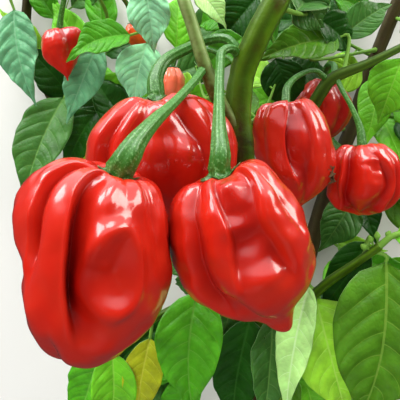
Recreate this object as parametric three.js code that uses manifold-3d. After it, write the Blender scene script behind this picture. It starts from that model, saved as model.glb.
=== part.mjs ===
// A fruiting branch of a chilli pepper plant, cut at its foot and lying on a level surface.
// Millimetres, +Z up. The foot of the stem points along -Y and the leafy tips along +Y.
import * as THREE from "three";
import { mergeVertices } from "three/addons/utils/BufferGeometryUtils.js";
import Module from "manifold-3d";

const wasm = await Module();
wasm.setup();

// The branch is laid out as an eye sees it that looks straight down from above the fruit.
// A place is [x, y, away]: two picture coordinates and the distance below the eye in millimetres.
const EYE_HEIGHT = 270;
const HALF_VIEW = THREE.MathUtils.degToRad(20);
const PICTURE = 400;

const GAP = 0.3; // clear space where one piece meets another
const FOOT_Y = -126; // where the main stem was cut through
const BLADE = 0.9; // thickness of a leaf blade
const PETIOLE = 0.9; // radius of a leaf stalk
const PETIOLE_SIDES = 4;
const LEAF_ROWS = 5;
const SHOOT_LEAF_ROWS = 3;

function seen([x, y, away]) {
  const scale = (2 * away * Math.tan(HALF_VIEW)) / PICTURE;
  const half = PICTURE / 2;
  return new THREE.Vector3((x - half) * scale, (half - y) * scale, EYE_HEIGHT - away);
}

const smooth = (low, high, x) => THREE.MathUtils.smoothstep(x, low, high);
const hill = (x) => Math.exp(-x * x);
const turns = (angle) => Math.atan2(Math.sin(angle), Math.cos(angle));
const rad = THREE.MathUtils.degToRad;

// Stems. Each limb is one tapering tube; its route starts inside the limb that carries it.
const LIMBS = [
  {
    name: "main_stem",
    route: [[272, 480, 265], [264, 410, 254.5], [254, 335, 232], [247, 262, 209.5], [243, 205, 192.5],
            [241, 160, 187], [238, 120, 185.5], [238, 92, 184.5]],
    radii: [5, 4.5, 4.4],
    sides: 10,
    steps: 12,
  },
  {
    name: "right_limb",
    on: "main_stem",
    route: [[238, 100, 185], [242, 76, 183.5], [256, 40, 180], [276, 2, 178], [296, -34, 183.5],
            [311, -62, 196]],
    radii: [4.3, 4.1, 3.1],
    sides: 10,
    steps: 10,
  },
  {
    name: "left_limb",
    on: "main_stem",
    route: [[241, 146, 187], [228, 118, 182.5], [215, 92, 177.5], [203, 60, 173.5], [193, 28, 172],
            [184, 0, 171], [175, -30, 176.5], [168, -52, 187]],
    radii: [2.7, 2, 2],
    sides: 8,
    steps: 10,
  },
  {
    name: "fruit_branch",
    on: "main_stem",
    route: [[246, 245, 203.5], [262, 208, 219.5], [285, 160, 230.5], [307, 118, 225], [320, 94, 218.5],
            [332, 79, 216], [365, 65, 214], [400, 48, 213.5], [424, 35, 216]],
    radii: [3.6, 3.4, 3.2, 2.9, 2.4, 1.6, 1.4],
    sides: 8,
    steps: 12,
  },
  {
    name: "right_rear_limb",
    on: "main_stem",
    route: [[257, 365, 243], [285, 305, 255.5], [308, 258, 262.5], [320, 212, 264], [334, 172, 265],
            [353, 124, 265.5], [368, 76, 264.5], [384, 36, 261], [398, 2, 256.5], [408, -26, 254]],
    radii: [4, 3.5, 3.1],
    sides: 8,
    steps: 11,
  },
  {
    name: "left_rear_limb",
    on: "main_stem",
    route: [[247, 268, 211.5], [218, 240, 236], [165, 207, 255.5], [100, 160, 264.5], [60, 112, 266],
            [38, 66, 266], [27, 28, 263], [28, -8, 258.5]],
    radii: [3.2, 2.6, 2.2],
    sides: 8,
    steps: 10,
  },
];

// Twigs that carry leaves of their own. Each is one piece with those leaves.
const TWIGS = [
  {
    name: "spray_low_right",
    on: "main_stem",
    route: [[257, 362, 241], [288, 322, 230.5], [325, 285, 217], [352, 266, 209.5], [380, 246, 204.5]],
    radii: [2.4, 2, 1.6],
    sides: 7,
    steps: 7,
  },
  {
    name: "spray_low_left",
    on: "main_stem",
    route: [[250, 300, 221.5], [226, 296, 213.5], [196, 300, 207], [166, 312, 205], [134, 332, 208],
            [106, 346, 213.5]],
    radii: [2, 1.5, 1.2],
    sides: 7,
    steps: 8,
  },
  {
    name: "spray_upper_left",
    on: "left_limb",
    route: [[176, -26, 175.5], [152, -26, 185.5], [124, -20, 198], [96, -14, 210.5], [62, -16, 221.5],
            [38, -24, 228.5]],
    radii: [1.9, 1.6, 1.2],
    sides: 7,
    steps: 8,
  },
];

// Fruit. The seat is the hollow under the calyx and the end is the blossom tip. Angles go round the axis
// in degrees: 0 on the right, 90 towards the eye, 180 on the left. Heights go from 0 at the seat to 1 at
// the end. Half widths to the left, right, front and back are spread evenly from seat to end, and blunt
// is how square the two ends are: the smaller, the squarer.
// A fold is [angles down its length, width of its right and left side, depths down its length, from, to,
// sharpness of its right and left wall]. The width holds half-way down; a fold is half as wide at the
// seat and one and a half times as wide at the tip.
// A bump is [angle, height, half width in degrees, half height, how far it stands out, and its rim does].
// The tip is [length, radius, sideways shift], and column is the widest face in degrees.
const RIM_AT = 1.3; // where the rim of a dent lies, as a share of the dent's own reach
const RIM_WIDE = 0.34;

function backFolds(size, angles) {
  const wide = [5 * size, 5 * size];
  const deep = [2.2 * size, 3.2 * size, 2.6 * size];
  return angles.map((angle) => [[angle, angle + 4], wide, deep, 0.08, 0.95, [1.4, 1.4]]);
}

const FRUIT = [
  {
    name: "fruit_front_left", seat: [118, 179, 145], end: [75, 359, 153],
    left: [23.4, 22.8, 19.4, 17.6, 17.8], right: [16.4, 18.4, 20.3, 18.8, 16.4],
    front: [19, 21, 20.5, 20, 16], back: [20, 21, 20, 18, 15],
    blunt: [0.55, 0.64], mouth: 8, hollow: 4.5, tip: [0.5, 5, 0], rings: 17, column: 11,
    folds: [
      [[88, 101, 102, 98, 92, 81, 70, 69, 68], [5, 2], [1.2, 3.8, 5.8, 7, 7.2], 0.06, 0.67, [2.4, 3]],
      [[124, 138, 140, 134, 131, 131, 132, 134, 136], [3, 2.2], [1.8, 3.2, 3.8, 2], 0.06, 0.56, [1.5, 1.6]],
      [[66, 62, 58], [3, 3], [1.4, 0.8, 0], 0.05, 0.3, [1.5, 1.5]],
      [[34, 26, 20], [2.2, 3.4], [1, 1.4, 0], 0.06, 0.5, [1.3, 1.8]],
      [[112, 110, 104], [1.8, 2.4], [0, 1.2, 1.4, 0.6], 0.6, 0.98, [1.5, 1.7]],
      ...backFolds(1, [208, 258, 312]),
    ],
    bumps: [
      [67, 0.435, 14.5, 0.09, -4.8, 2.2],
      [83, 0.46, 5, 0.1, 0.9, 0],
      [86, 0.25, 10, 0.08, 0.9, 0],
      [180, 0.37, 30, 0.15, 4, 0],
      [180, 0.53, 26, 0.035, -3.4, 0],
      [128, 0.6, 12, 0.3, 1, 0],
      [76, 0.42, 7, 0.014, 0.5, 0],
      [110, 0.3, 10, 0.2, 0.8, 0],
    ],
  },
  {
    name: "fruit_front_middle", seat: [222, 178, 155], end: [287, 331, 161],
    left: [20.5, 21.8, 22.6, 20.8, 18], right: [17.4, 17.2, 17.2, 16.6, 12],
    front: [17, 20, 19.5, 18, 15], back: [17, 19, 18, 17, 14],
    blunt: [0.55, 0.64], mouth: 8, hollow: 4, tip: [6.5, 5, 0], rings: 17, column: 11,
    folds: [
      [[146, 131, 130, 129, 133, 136, 138, 138, 138], [3, 3.4], [1.8, 3, 4, 4, 1.6], 0.06, 0.8, [1.7, 1.5]],
      [[98, 100, 99, 98, 103, 106, 104, 100, 98], [6.5, 1.6], [2.2, 3.2, 3.2, 2.8, 0.6], 0.05, 0.66,
        [2.6, 2.4]],
      [[60, 64, 70, 78, 74, 70, 66, 62, 60], [2, 5], [2, 3, 3.2, 2.8, 0.6], 0.05, 0.7, [2.2, 2]],
      [[44, 42, 40, 36], [1.6, 2.2], [0.4, 1.1, 0.8, 0.2], 0.1, 0.6, [1.3, 1.6]],
      [[130, 124, 116], [1.8, 2.2], [0, 1.2, 1.2, 0.4], 0.55, 0.98, [1.5, 1.6]],
      ...backFolds(0.95, [208, 258, 312]),
    ],
    bumps: [
      [88, 0.2, 12, 0.06, 2.2, 0],
      [90, 0.31, 10, 0.035, -1, 0],
      [96, 0.38, 9, 0.03, 0.7, 0],
      [93, 0.44, 15, 0.05, -1.6, 0],
      [98, 0.58, 24, 0.045, 2.2, 0],
      [112, 0.4, 8, 0.16, 0.8, 0],
      [58, 0.4, 12, 0.2, 1.4, 0],
      [84, 0.72, 26, 0.08, 0.8, 0],
    ],
  },
  {
    name: "fruit_behind", seat: [157, 103, 175.8], end: [168, 222, 177],
    left: [20, 24.4, 23.4, 16], right: [20, 24.6, 23, 16],
    front: [17.5, 17.8, 16, 12], back: [17, 17, 17, 13],
    blunt: [0.5, 0.62], mouth: 7, hollow: 2.8, tip: [0.5, 4.5, 0], rings: 13, column: 14,
    folds: [
      [[112, 123, 136, 142, 146], [3.4, 3], [1.8, 3.2, 3.4, 2], 0.05, 0.9, [1.6, 1.5]],
      [[95, 98, 111, 116, 120], [3.4, 2.6], [2.2, 3.4, 2.8, 1.6], 0.05, 0.9, [1.7, 1.5]],
      [[88, 88, 85, 81, 78], [2.6, 2.8], [0.6, 1.6, 2.8, 2.4, 1], 0.05, 0.85, [1.5, 1.5]],
      [[78, 69, 57, 54, 52], [3.4, 3.6], [2.4, 3.6, 3.4, 2], 0.05, 0.88, [1.4, 1.7]],
      [[26, 28, 28], [2.6, 3.4], [1.4, 2, 1.4], 0.06, 0.8, [1.4, 1.6]],
      ...backFolds(1.1, [208, 258, 312]),
    ],
    bumps: [
      [76, 0.39, 13, 0.06, -1.3, 0],
      [72, 0.52, 14, 0.06, 1.4, 0],
      [88, 0.17, 7, 0.06, 0.9, 0],
    ],
  },
  {
    name: "fruit_right", seat: [286, 106, 198], end: [300, 213, 200],
    left: [15.8, 15, 14, 10.6, 5], right: [13.8, 14.2, 14.4, 12.8, 4.6],
    front: [12.4, 13.4, 13, 11, 6], back: [12, 13.4, 13, 11, 6],
    blunt: [0.5, 0.62], mouth: 5.4, hollow: 2.9, tip: [1.1, 2.3, -0.5], rings: 13, column: 16,
    folds: [
      [[84, 84, 89, 98, 99, 89, 80, 77, 76], [5, 1.3], [1.6, 3, 3.4, 3.2, 2.4], 0.06, 0.7, [1.9, 3]],
      [[138, 143, 140, 134, 130], [2.6, 2.6], [1, 1.4, 0.8, 0.3], 0.06, 0.8, [1.5, 1.5]],
      [[68, 68, 69, 72, 72, 70], [1.2, 2.6], [0.6, 1.4, 1.4, 0.8], 0.08, 0.8, [2, 1.6]],
      [[42, 42, 40, 34], [1.4, 2.4], [0.5, 0.8, 0.8, 0.4], 0.08, 0.9, [1.3, 1.7]],
      [[80, 79, 78, 75, 72], [1.6, 1.6], [0, 0.4, 1.2, 1.6], 0.4, 0.98, [1.5, 1.5]],
      ...backFolds(0.8, [190, 235, 290]),
    ],
    bumps: [
      [112, 0.4, 16, 0.2, -0.6, 0.2],
      [14, 0.6, 30, 0.2, 1.1, 0],
      [96, 0.5, 9, 0.06, -1, 0],
      [92, 0.62, 10, 0.05, 1.5, 0],
    ],
  },
  {
    name: "fruit_far_right", seat: [362, 148, 207], end: [363, 216, 208],
    left: [13, 13, 13.4, 14, 12], right: [12.2, 13.8, 14.6, 14.8, 13],
    front: [11.6, 12.8, 12.8, 12, 10], back: [11, 12.6, 12.6, 11.6, 9.6],
    blunt: [0.5, 0.5], mouth: 5, hollow: 2.5, tip: [0.3, 2.7, 0], rings: 10, column: 18,
    folds: [
      [[130, 128, 128, 136, 140], [3, 2], [1.8, 3.6, 4, 3.4], 0.05, 0.99, [1.5, 2.4]],
      [[97, 88, 64, 78, 88], [2, 2.8], [0.6, 1.8, 3, 2.6, 2.2], 0.05, 0.99, [2, 1.6]],
      [[46, 40, 38, 44], [1.8, 2.4], [1, 1.8, 2.2, 1.4], 0.08, 0.96, [1.3, 1.7]],
      [[150, 154, 156], [2.3, 2.6], [1.2, 1.8, 1.6], 0.06, 0.95, [1.5, 1.6]],
      ...backFolds(0.75, [205, 262, 318]),
    ],
    bumps: [
      [88, 0.42, 8, 0.09, -1.6, 1.1],
      [144, 0.84, 10, 0.07, 2.6, 0],
      [170, 0.8, 14, 0.08, 1.2, 0],
      [66, 0.86, 16, 0.07, 2, 0],
      [110, 0.87, 10, 0.07, 2.4, 0],
      [20, 0.3, 22, 0.15, 0.7, 0],
    ],
  },
  {
    name: "fruit_under_fork", seat: [322, 81, 236], end: [322, 149, 236],
    left: [9, 13.1, 11.2, 6.3], right: [9, 13.1, 11.7, 7.2],
    front: [9, 11.7, 9.9, 6.3], back: [9, 11.7, 9.9, 6.3],
    blunt: [0.55, 0.7], mouth: 4, hollow: 2, tip: [1.1, 2.2, 0], rings: 9, column: 22,
    folds: [
      [[112, 118, 116], [2.5, 2.5], [1.4, 2.6, 1.6], 0.06, 0.95, [1.5, 1.5]],
      [[66, 56, 58], [2.5, 3], [1.4, 2.6, 1.8], 0.06, 0.95, [1.4, 1.7]],
      [[26, 20], [2.3, 2.3], [1.1, 1.3], 0.08, 0.9, [1.5, 1.5]],
      [[160, 162], [2.3, 2.3], [1.1, 1.3], 0.08, 0.9, [1.5, 1.5]],
      ...backFolds(0.7, [208, 258, 312]),
    ],
    bumps: [],
  },
  {
    name: "fruit_upper_left", seat: [60, 32, 227], end: [68, 81, 227],
    left: [9, 9.2, 8.4, 5.2, 2.4], right: [9, 9, 6.8, 4.2, 2],
    front: [8, 8, 6.4, 4.4, 2.2], back: [8, 8, 6.4, 4.4, 2.2],
    blunt: [0.5, 0.74], mouth: 2.7, hollow: 1.4, tip: [0.8, 1.6, 0], rings: 9, column: 24,
    folds: [
      [[70, 56, 52], [2.4, 2.4], [1.4, 1.8, 0.7], 0.06, 0.7, [1.6, 1.6]],
      [[116, 122], [2.2, 2.2], [0.5, 0.5], 0.08, 0.8, [1.5, 1.5]],
      ...backFolds(0.4, [200, 290]),
    ],
    bumps: [
      [20, 0.26, 26, 0.11, 1.6, 0],
      [34, 0.45, 22, 0.09, -1.2, 0],
    ],
  },
  {
    name: "fruit_orange", seat: [133, 24, 236], end: [142, 52, 236],
    left: [4.1, 5, 4.1, 2.7], right: [4.1, 5, 4.3, 2.7],
    front: [4.1, 5, 4.1, 2.7], back: [4.1, 5, 4.1, 2.7],
    blunt: [0.55, 0.7], mouth: 2.2, hollow: 0.9, tip: [0.5, 1.3, 0], rings: 7, column: 36,
    folds: [
      [[120, 122], [1.3, 1.3], [0.7, 0.6], 0.08, 0.9, [1.4, 1.4]],
      [[58, 54], [1.3, 1.3], [0.7, 0.6], 0.08, 0.9, [1.4, 1.4]],
      ...backFolds(0.3, [215, 300]),
    ],
    bumps: [],
  },
  {
    name: "fruit_half_hidden", seat: [173, 68, 221.5], end: [172, 103, 223],
    left: [4, 5, 4.5, 2.7], right: [4, 5, 4.5, 2.7],
    front: [4, 5, 4.5, 2.7], back: [4, 5, 4.5, 2.7],
    blunt: [0.55, 0.7], mouth: 2.2, hollow: 0.8, tip: [0.5, 1.3, 0], rings: 7, column: 36,
    folds: [
      [[124, 126], [1.3, 1.3], [0.6, 0.5], 0.08, 0.9, [1.4, 1.4]],
      [[62, 60], [1.3, 1.3], [0.6, 0.5], 0.08, 0.9, [1.4, 1.4]],
      ...backFolds(0.3, [215, 300]),
    ],
    bumps: [],
  },
];

// Fruit stalks, each with the calyx that caps its fruit. The route goes from inside the limb that carries
// it to a place above the fruit's seat.
const STALKS = [
  {
    name: "stalk_front_left", on: "left_limb", fruit: "fruit_front_left",
    route: [[205, 66, 175], [197, 78, 170.3], [176, 101, 160.3], [154, 122, 150.6],
            [137, 142, 145.2], [127, 159, 143]],
    radii: [1.25, 1.3, 1.6, 2.4, 3.9], calyx: 4.5,
  },
  {
    name: "stalk_front_middle", on: "right_limb", fruit: "fruit_front_middle",
    route: [[242, 60, 182.5], [232, 49, 178.5], [222, 52, 175], [220, 68, 171.5], [219, 100, 165.5],
            [219, 132, 159], [220, 156, 154.5]],
    radii: [1.4, 1.4, 1.8, 3.1], calyx: 4.9,
  },
  {
    name: "stalk_behind", on: "right_limb", fruit: "fruit_behind",
    route: [[242, 66, 183.5], [236, 48, 183.5], [226, 39, 184.5], [208, 40, 185.5], [186, 49, 184.5],
            [165, 61, 181.5], [156, 78, 178]],
    radii: [1.5, 1.6, 2, 2.8], calyx: 4.8,
  },
  {
    name: "stalk_right", on: "fruit_branch", fruit: "fruit_right",
    route: [[328, 81, 217], [316, 71, 213.5], [298, 76, 206], [287, 88, 200.5]],
    radii: [1.1, 0.95, 1.1, 1.6], calyx: 2.6,
  },
  {
    name: "stalk_far_right", on: "fruit_branch", fruit: "fruit_far_right",
    route: [[336, 77, 216], [342, 90, 212.5], [352, 108, 209.5], [360, 128, 208]],
    radii: [1, 0.9, 1.1, 1.8], calyx: 2.6,
  },
  {
    name: "stalk_under_fork", on: "fruit_branch", fruit: "fruit_under_fork",
    route: [[334, 78, 216], [334, 66, 225], [328, 66, 233]],
    radii: [1.2, 1.3, 1.4, 1.7], calyx: 2.8,
  },
  {
    name: "stalk_upper_left", on: "spray_upper_left", fruit: "fruit_upper_left",
    route: [[66, -15, 220], [64, 0, 223], [61, 16, 226]],
    radii: [1, 1, 1.1, 1.4], calyx: 2.2,
  },
  {
    name: "stalk_orange", on: "spray_upper_left", fruit: "fruit_orange",
    route: [[114, -18, 202.5], [120, -6, 219.5], [129, 8, 232]],
    radii: [0.8, 0.8, 0.9, 1.1], calyx: 1.8,
  },
  {
    name: "stalk_half_hidden", on: "right_limb", fruit: "fruit_half_hidden",
    route: [[243, 72, 183.5], [226, 56, 200], [200, 48, 214], [178, 52, 220.5]],
    radii: [0.8, 0.8, 0.8, 1], calyx: 1.7,
  },
];

// Leaves. The foot is the end of the leaf stalk at the blade and the tip is the point of the leaf.
// Roll turns the face away from the eye, bend arches the midrib towards it, and fold lifts the two halves.
const LEAVES = [
  { name: "leaf_low_1", on: "spray_low_left", at: 0.40, foot: [197, 291, 201.5], tip: [194, 418, 203.5],
    width: 23.4, roll: 6, bend: 4.5, fold: 18 },
  { name: "leaf_low_2", on: "spray_low_left", at: 0.97, foot: [112, 352, 214], tip: [104, 440, 221.5],
    width: 17.1, roll: -14, bend: 4.5, fold: 16 },
  { name: "leaf_low_3", on: "spray_low_left", at: 0.86, foot: [102, 348, 221.5], tip: [74, 432, 232],
    width: 18, roll: 18, bend: 3.6, fold: 14 },
  { name: "leaf_low_4", on: "spray_low_left", at: 0.70, foot: [150, 338, 218], tip: [137, 428, 221.5],
    width: 15.3, roll: -10, bend: 3.6, fold: 12 },
  { name: "leaf_low_5", on: "spray_low_left", at: 0.58, foot: [176, 318, 223], tip: [112, 372, 241],
    width: 21.6, roll: 10, bend: 3.6, fold: 16 },
  { name: "leaf_low_6", on: "main_stem", at: 0.42, foot: [250, 318, 221.5], tip: [232, 430, 236],
    width: 20.7, roll: 8, bend: 3.6, fold: 14 },
  { name: "leaf_low_7", on: "spray_low_right", at: 0.10, foot: [272, 318, 225], tip: [262, 430, 221.5],
    width: 17.1, roll: -28, bend: 5.4, fold: 20 },
  { name: "leaf_low_8", on: "spray_low_right", at: 0.42, foot: [309, 286, 214], tip: [284, 422, 212.5],
    width: 19.8, roll: 36, bend: 5.4, fold: 22 },
  { name: "leaf_low_9", on: "spray_low_right", at: 0.50, foot: [318, 300, 221.5], tip: [350, 424, 219.5],
    width: 28.8, roll: -8, bend: 5.4, fold: 20 },
  { name: "leaf_low_10", on: "spray_low_right", at: 0.96, foot: [386, 262, 205], tip: [354, 428, 216],
    width: 37.8, roll: 6, bend: 6.3, fold: 16 },
  { name: "leaf_low_11", on: "spray_low_right", at: 0.90, foot: [366, 242, 212.5], tip: [318, 312, 228.5],
    width: 15.3, roll: 24, bend: 2.7, fold: 18 },
  { name: "leaf_right_1", on: "right_rear_limb", at: 0.50, foot: [352, 200, 248.5], tip: [318, 252, 252],
    width: 18, roll: 0, bend: 3.6, fold: 14 },
  { name: "leaf_right_2", on: "right_rear_limb", at: 0.76, foot: [376, 80, 248.5], tip: [362, 152, 243],
    width: 15.3, roll: 12, bend: 3.6, fold: 14 },
  { name: "leaf_right_3", on: "right_rear_limb", at: 0.78, foot: [362, 68, 255.5], tip: [310, 88, 260],
    width: 18, roll: -6, bend: 2.7, fold: 10 },
  { name: "leaf_right_4", on: "fruit_branch", at: 0.93, foot: [402, 58, 221.5], tip: [378, 124, 232],
    width: 19.8, roll: 8, bend: 3.6, fold: 14 },
  { name: "leaf_top_1", on: "fruit_branch", at: 0.72, foot: [337, 38, 216], tip: [253, 62, 209],
    width: 17.1, roll: 14, bend: 4.5, fold: 24 },
  { name: "leaf_top_2", on: "right_rear_limb", at: 0.82, foot: [343, 36, 225], tip: [392, 4, 225],
    width: 13.5, roll: -6, bend: 3.6, fold: 20 },
  { name: "leaf_top_3", on: "right_limb", at: 0.08, foot: [276, 58, 227], tip: [288, 114, 236],
    width: 18, roll: 6, bend: 3.6, fold: 14 },
  { name: "leaf_top_4", on: "right_limb", at: 0.62, foot: [292, -10, 200], tip: [322, 32, 210.5],
    width: 18, roll: -8, bend: 3.6, fold: 14 },
  { name: "leaf_top_5", on: "right_limb", at: 0.52, foot: [258, -4, 198], tip: [220, 42, 209],
    width: 22.5, roll: 6, bend: 3.6, fold: 16 },
  { name: "leaf_top_6", on: "left_limb", at: 0.86, foot: [192, -16, 183.5], tip: [227, 30, 191],
    width: 9.9, roll: -20, bend: 2.7, fold: 20 },
  { name: "leaf_upper_1", on: "spray_upper_left", at: 0.20, foot: [148, -10, 201.5], tip: [156, 57, 210.5],
    width: 17.1, roll: 8, bend: 3.6, fold: 12 },
  { name: "leaf_upper_2", on: "spray_upper_left", at: 0.30, foot: [144, 30, 225], tip: [132, 110, 236],
    width: 18, roll: -6, bend: 3.6, fold: 12 },
  { name: "leaf_upper_3", on: "spray_upper_left", at: 0.42, foot: [128, 28, 221.5], tip: [66, 62, 219.5],
    width: 16.2, roll: 16, bend: 3.6, fold: 22 },
  { name: "leaf_upper_4", on: "spray_upper_left", at: 0.60, foot: [98, 44, 236], tip: [66, 124, 243],
    width: 16.2, roll: -6, bend: 3.6, fold: 14 },
  { name: "leaf_upper_5", on: "spray_upper_left", at: 0.96, foot: [14, 10, 236], tip: [36, 106, 243],
    width: 18.9, roll: 6, bend: 3.6, fold: 14 },
  { name: "leaf_left_1", on: "left_rear_limb", at: 0.62, foot: [64, 98, 254], tip: [22, 212, 246.5],
    width: 23.4, roll: 6, bend: 4.5, fold: 16 },
  { name: "leaf_left_2", on: "left_rear_limb", at: 0.46, foot: [108, 98, 255.5], tip: [64, 178, 257.5],
    width: 20.7, roll: 0, bend: 3.6, fold: 14 },
  { name: "leaf_mid_1", on: "main_stem", at: 0.93, foot: [213, 84, 236], tip: [192, 130, 252],
    width: 18, roll: -6, bend: 2.7, fold: 12 },
];

// Leafy shoots that finish the limbs. Each is one twig with leaves set round it by a turning angle.
const SHOOTS = [
  { name: "shoot_top_right", on: "right_limb", to: [338, -98, 219.5], leaves: 6, leaf: 45, seed: 11 },
  { name: "shoot_top_left", on: "left_limb", to: [150, -92, 221.5], leaves: 6, leaf: 41, seed: 23 },
  { name: "shoot_right", on: "fruit_branch", to: [462, 14, 232], leaves: 5, leaf: 40, seed: 37 },
  { name: "shoot_rear_right", on: "right_rear_limb", to: [424, -66, 241], leaves: 5, leaf: 40, seed: 41 },
  { name: "shoot_rear_left", on: "left_rear_limb", to: [34, -52, 255.5], leaves: 5, leaf: 30, seed: 59 },
  { name: "shoot_upper_left", on: "spray_upper_left", to: [10, -42, 237.5], leaves: 4, leaf: 34, seed: 67 },
  { name: "shoot_low_right", on: "spray_low_right", to: [422, 240, 207], leaves: 4, leaf: 34, seed: 71 },
];
const TURN = rad(137.5); // turn from one leaf of a shoot to the next
const SHOOT_RADIUS = 1.2;
const SHOOT_START = 0.97; // where a shoot starts, as a share of its limb's length
const BARE = 0.3; // share of a shoot below its lowest leaf
const LEAFY = 0.68; // share of a shoot from its lowest leaf to its last
const SHORTEST_LEAF = 0.75; // as a share of the shoot's leaf length
const LEAF_SPREAD = 0.35; // how much longer than that the longest is
const LEAF_SHAPE = { width: 0.46, bend: 0.07 }; // as shares of the leaf's length
const LEAF_FOLD = 14;
const LOWEST_LEAF = 1.5; // leaves of a shoot stay this far above the surface

// Solids from rings of points. Every ring has the same count, and both ends are closed by a fan.
function ringSolid(rings) {
  const count = rings[0].length;
  const points = rings.flat();
  const faces = [];
  for (let i = 0; i + 1 < rings.length; i++) {
    for (let j = 0; j < count; j++) {
      const a = i * count + j;
      const b = i * count + ((j + 1) % count);
      faces.push(a, b, a + count, b, b + count, a + count);
    }
  }
  for (const [ring, first] of [[0, true], [rings.length - 1, false]]) {
    const middle = points.length;
    points.push(rings[ring].reduce((sum, p) => sum.add(p), new THREE.Vector3()).divideScalar(count));
    for (let j = 0; j < count; j++) {
      const a = ring * count + j;
      const b = ring * count + ((j + 1) % count);
      faces.push(...(first ? [middle, b, a] : [middle, a, b]));
    }
  }
  return solid(points, faces);
}

function solid(points, faces) {
  const geometry = new THREE.BufferGeometry().setFromPoints(points);
  geometry.setIndex(faces);
  const merged = mergeVertices(geometry, 1e-4);
  const mesh = new wasm.Mesh({
    numProp: 3,
    vertProperties: merged.attributes.position.array,
    triVerts: new Uint32Array(merged.index.array),
  });
  const made = new wasm.Manifold(mesh);
  return made.volume() < 0 ? turnedOut(merged) : made;
}

function turnedOut(geometry) {
  const index = Array.from(geometry.index.array);
  for (let i = 0; i < index.length; i += 3) {
    [index[i + 1], index[i + 2]] = [index[i + 2], index[i + 1]];
  }
  return new wasm.Manifold(
    new wasm.Mesh({
      numProp: 3,
      vertProperties: geometry.attributes.position.array,
      triVerts: new Uint32Array(index),
    }),
  );
}

// The largest piece of a solid: a cut can leave a loose scrap, which is dropped.
function largest(made) {
  const pieces = made.decompose();
  return pieces.reduce((best, piece) => (piece.volume() > best.volume() ? piece : best));
}

function between(values, t) {
  const place = t * (values.length - 1);
  const i = Math.min(Math.floor(place), values.length - 2);
  return THREE.MathUtils.lerp(values[i], values[i + 1], place - i);
}

// A ring of points round a centre, in the plane of two axes. Every other point can be drawn in.
function ringRound(centre, side, other, radius, count, drawnIn = 1) {
  const ring = [];
  for (let j = 0; j < count; j++) {
    const angle = (2 * Math.PI * j) / count;
    const reach = j % 2 ? radius * drawnIn : radius;
    ring.push(
      centre.clone()
        .addScaledVector(side, reach * Math.cos(angle))
        .addScaledVector(other, reach * Math.sin(angle)),
    );
  }
  return ring;
}

// The rings of a tapering tube along a curve, and the side that its last ring starts from.
function tubeRings(curve, radii, sides, steps, grow = 0) {
  const { normals, binormals } = curve.computeFrenetFrames(steps, false);
  const rings = normals.map((normal, i) => {
    const t = i / steps;
    return ringRound(curve.getPointAt(t), normal, binormals[i], between(radii, t) + grow, sides);
  });
  return { rings, side: normals[steps] };
}

function tube(...shape) {
  return ringSolid(tubeRings(...shape).rings);
}

const curves = new Map();
const limbs = new Map([...LIMBS, ...TWIGS].map((limb) => [limb.name, limb]));
const fruits = new Map(FRUIT.map((fruit) => [fruit.name, fruit]));
for (const { name, route } of limbs.values()) {
  curves.set(name, new THREE.CatmullRomCurve3(route.map(seen), false, "centripetal"));
}

function limbTube(name, grow = 0) {
  const { radii, sides, steps } = limbs.get(name);
  return tube(curves.get(name), radii, sides, steps, grow);
}

// A piece that grows from a limb ends clear of it.
function clearOf(made, on) {
  return largest(made.subtract(limbTube(on, GAP)));
}

// The main stem ends below in a flat cut.
function footCut(made) {
  const { min, max } = made.boundingBox();
  const room = 1000;
  const box = new THREE.BoxGeometry(room, room, room).deleteAttribute("normal").deleteAttribute("uv");
  box.translate((min[0] + max[0]) / 2, FOOT_Y - room / 2, 0);
  const points = [];
  for (let i = 0; i < box.attributes.position.count; i++) {
    points.push(new THREE.Vector3().fromBufferAttribute(box.attributes.position, i));
  }
  return made.subtract(solid(points, Array.from(box.index.array)));
}

// A limb ends clear of the limb that carries it. The main stem ends at its cut foot.
function makeLimb({ name, on }) {
  const made = limbTube(name);
  return on ? clearOf(made, on) : footCut(made);
}

// A twig is one piece with the leaves and the shoot that grow from it.
function makeTwig({ name, on }) {
  let made = limbTube(name);
  for (const leaf of LEAVES.filter((one) => one.on === name)) {
    made = made.add(leafSolid(leaf));
  }
  for (const shoot of SHOOTS.filter((one) => one.on === name)) {
    made = made.add(shootSolid(shoot));
  }
  return clearOf(made, on);
}

// The axes of a fruit: down its length, to the right of the picture, and towards the eye.
function fruitAxes(fruit) {
  const seat = seen(fruit.seat);
  const down = seen(fruit.end).sub(seat);
  const length = down.length();
  down.normalize();
  const right = new THREE.Vector3().crossVectors(new THREE.Vector3(0, 0, 1), down).normalize();
  const front = new THREE.Vector3().crossVectors(down, right).normalize();
  return { seat, down, right, front, length };
}

// A smooth curve through values spread evenly from 0 to 1.
function flow(values, t) {
  const last = values.length - 1;
  const place = THREE.MathUtils.clamp(t, 0, 1) * last;
  const i = Math.min(Math.floor(place), last - 1);
  const f = place - i;
  const [a, b, c, d] = [Math.max(i - 1, 0), i, i + 1, Math.min(i + 2, last)].map((k) => values[k]);
  return b + 0.5 * f * (c - a + f * (2 * a - 5 * b + 4 * c - d + f * (3 * (b - c) + d - a)));
}

// How far the folds and bumps sink the skin at a height and an angle, where the body has a given radius.
function sinkOf(fruit, height, angle, radius) {
  let sink = 0;
  for (const [at, wide, deep, from, to, sharp] of fruit.folds) {
    const across = turns(angle - rad(flow(at, height))) * radius;
    const side = across > 0 ? 1 : 0;
    const share = Math.abs(across) / wide[side] / (0.5 + height);
    const walls = Math.exp(-Math.pow(share, sharp[side]));
    const ends = smooth(from - 0.08, from + 0.08, height) * (1 - smooth(to - 0.14, to + 0.06, height));
    sink += flow(deep, (height - from) / (to - from)) * walls * ends;
  }
  for (const [at, place, wide, tall, out, rim] of fruit.bumps) {
    const off = Math.hypot(turns(angle - rad(at)) / rad(wide), (height - place) / tall);
    sink -= out * hill(off) + rim * hill((off - RIM_AT) / RIM_WIDE);
  }
  return sink;
}

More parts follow.
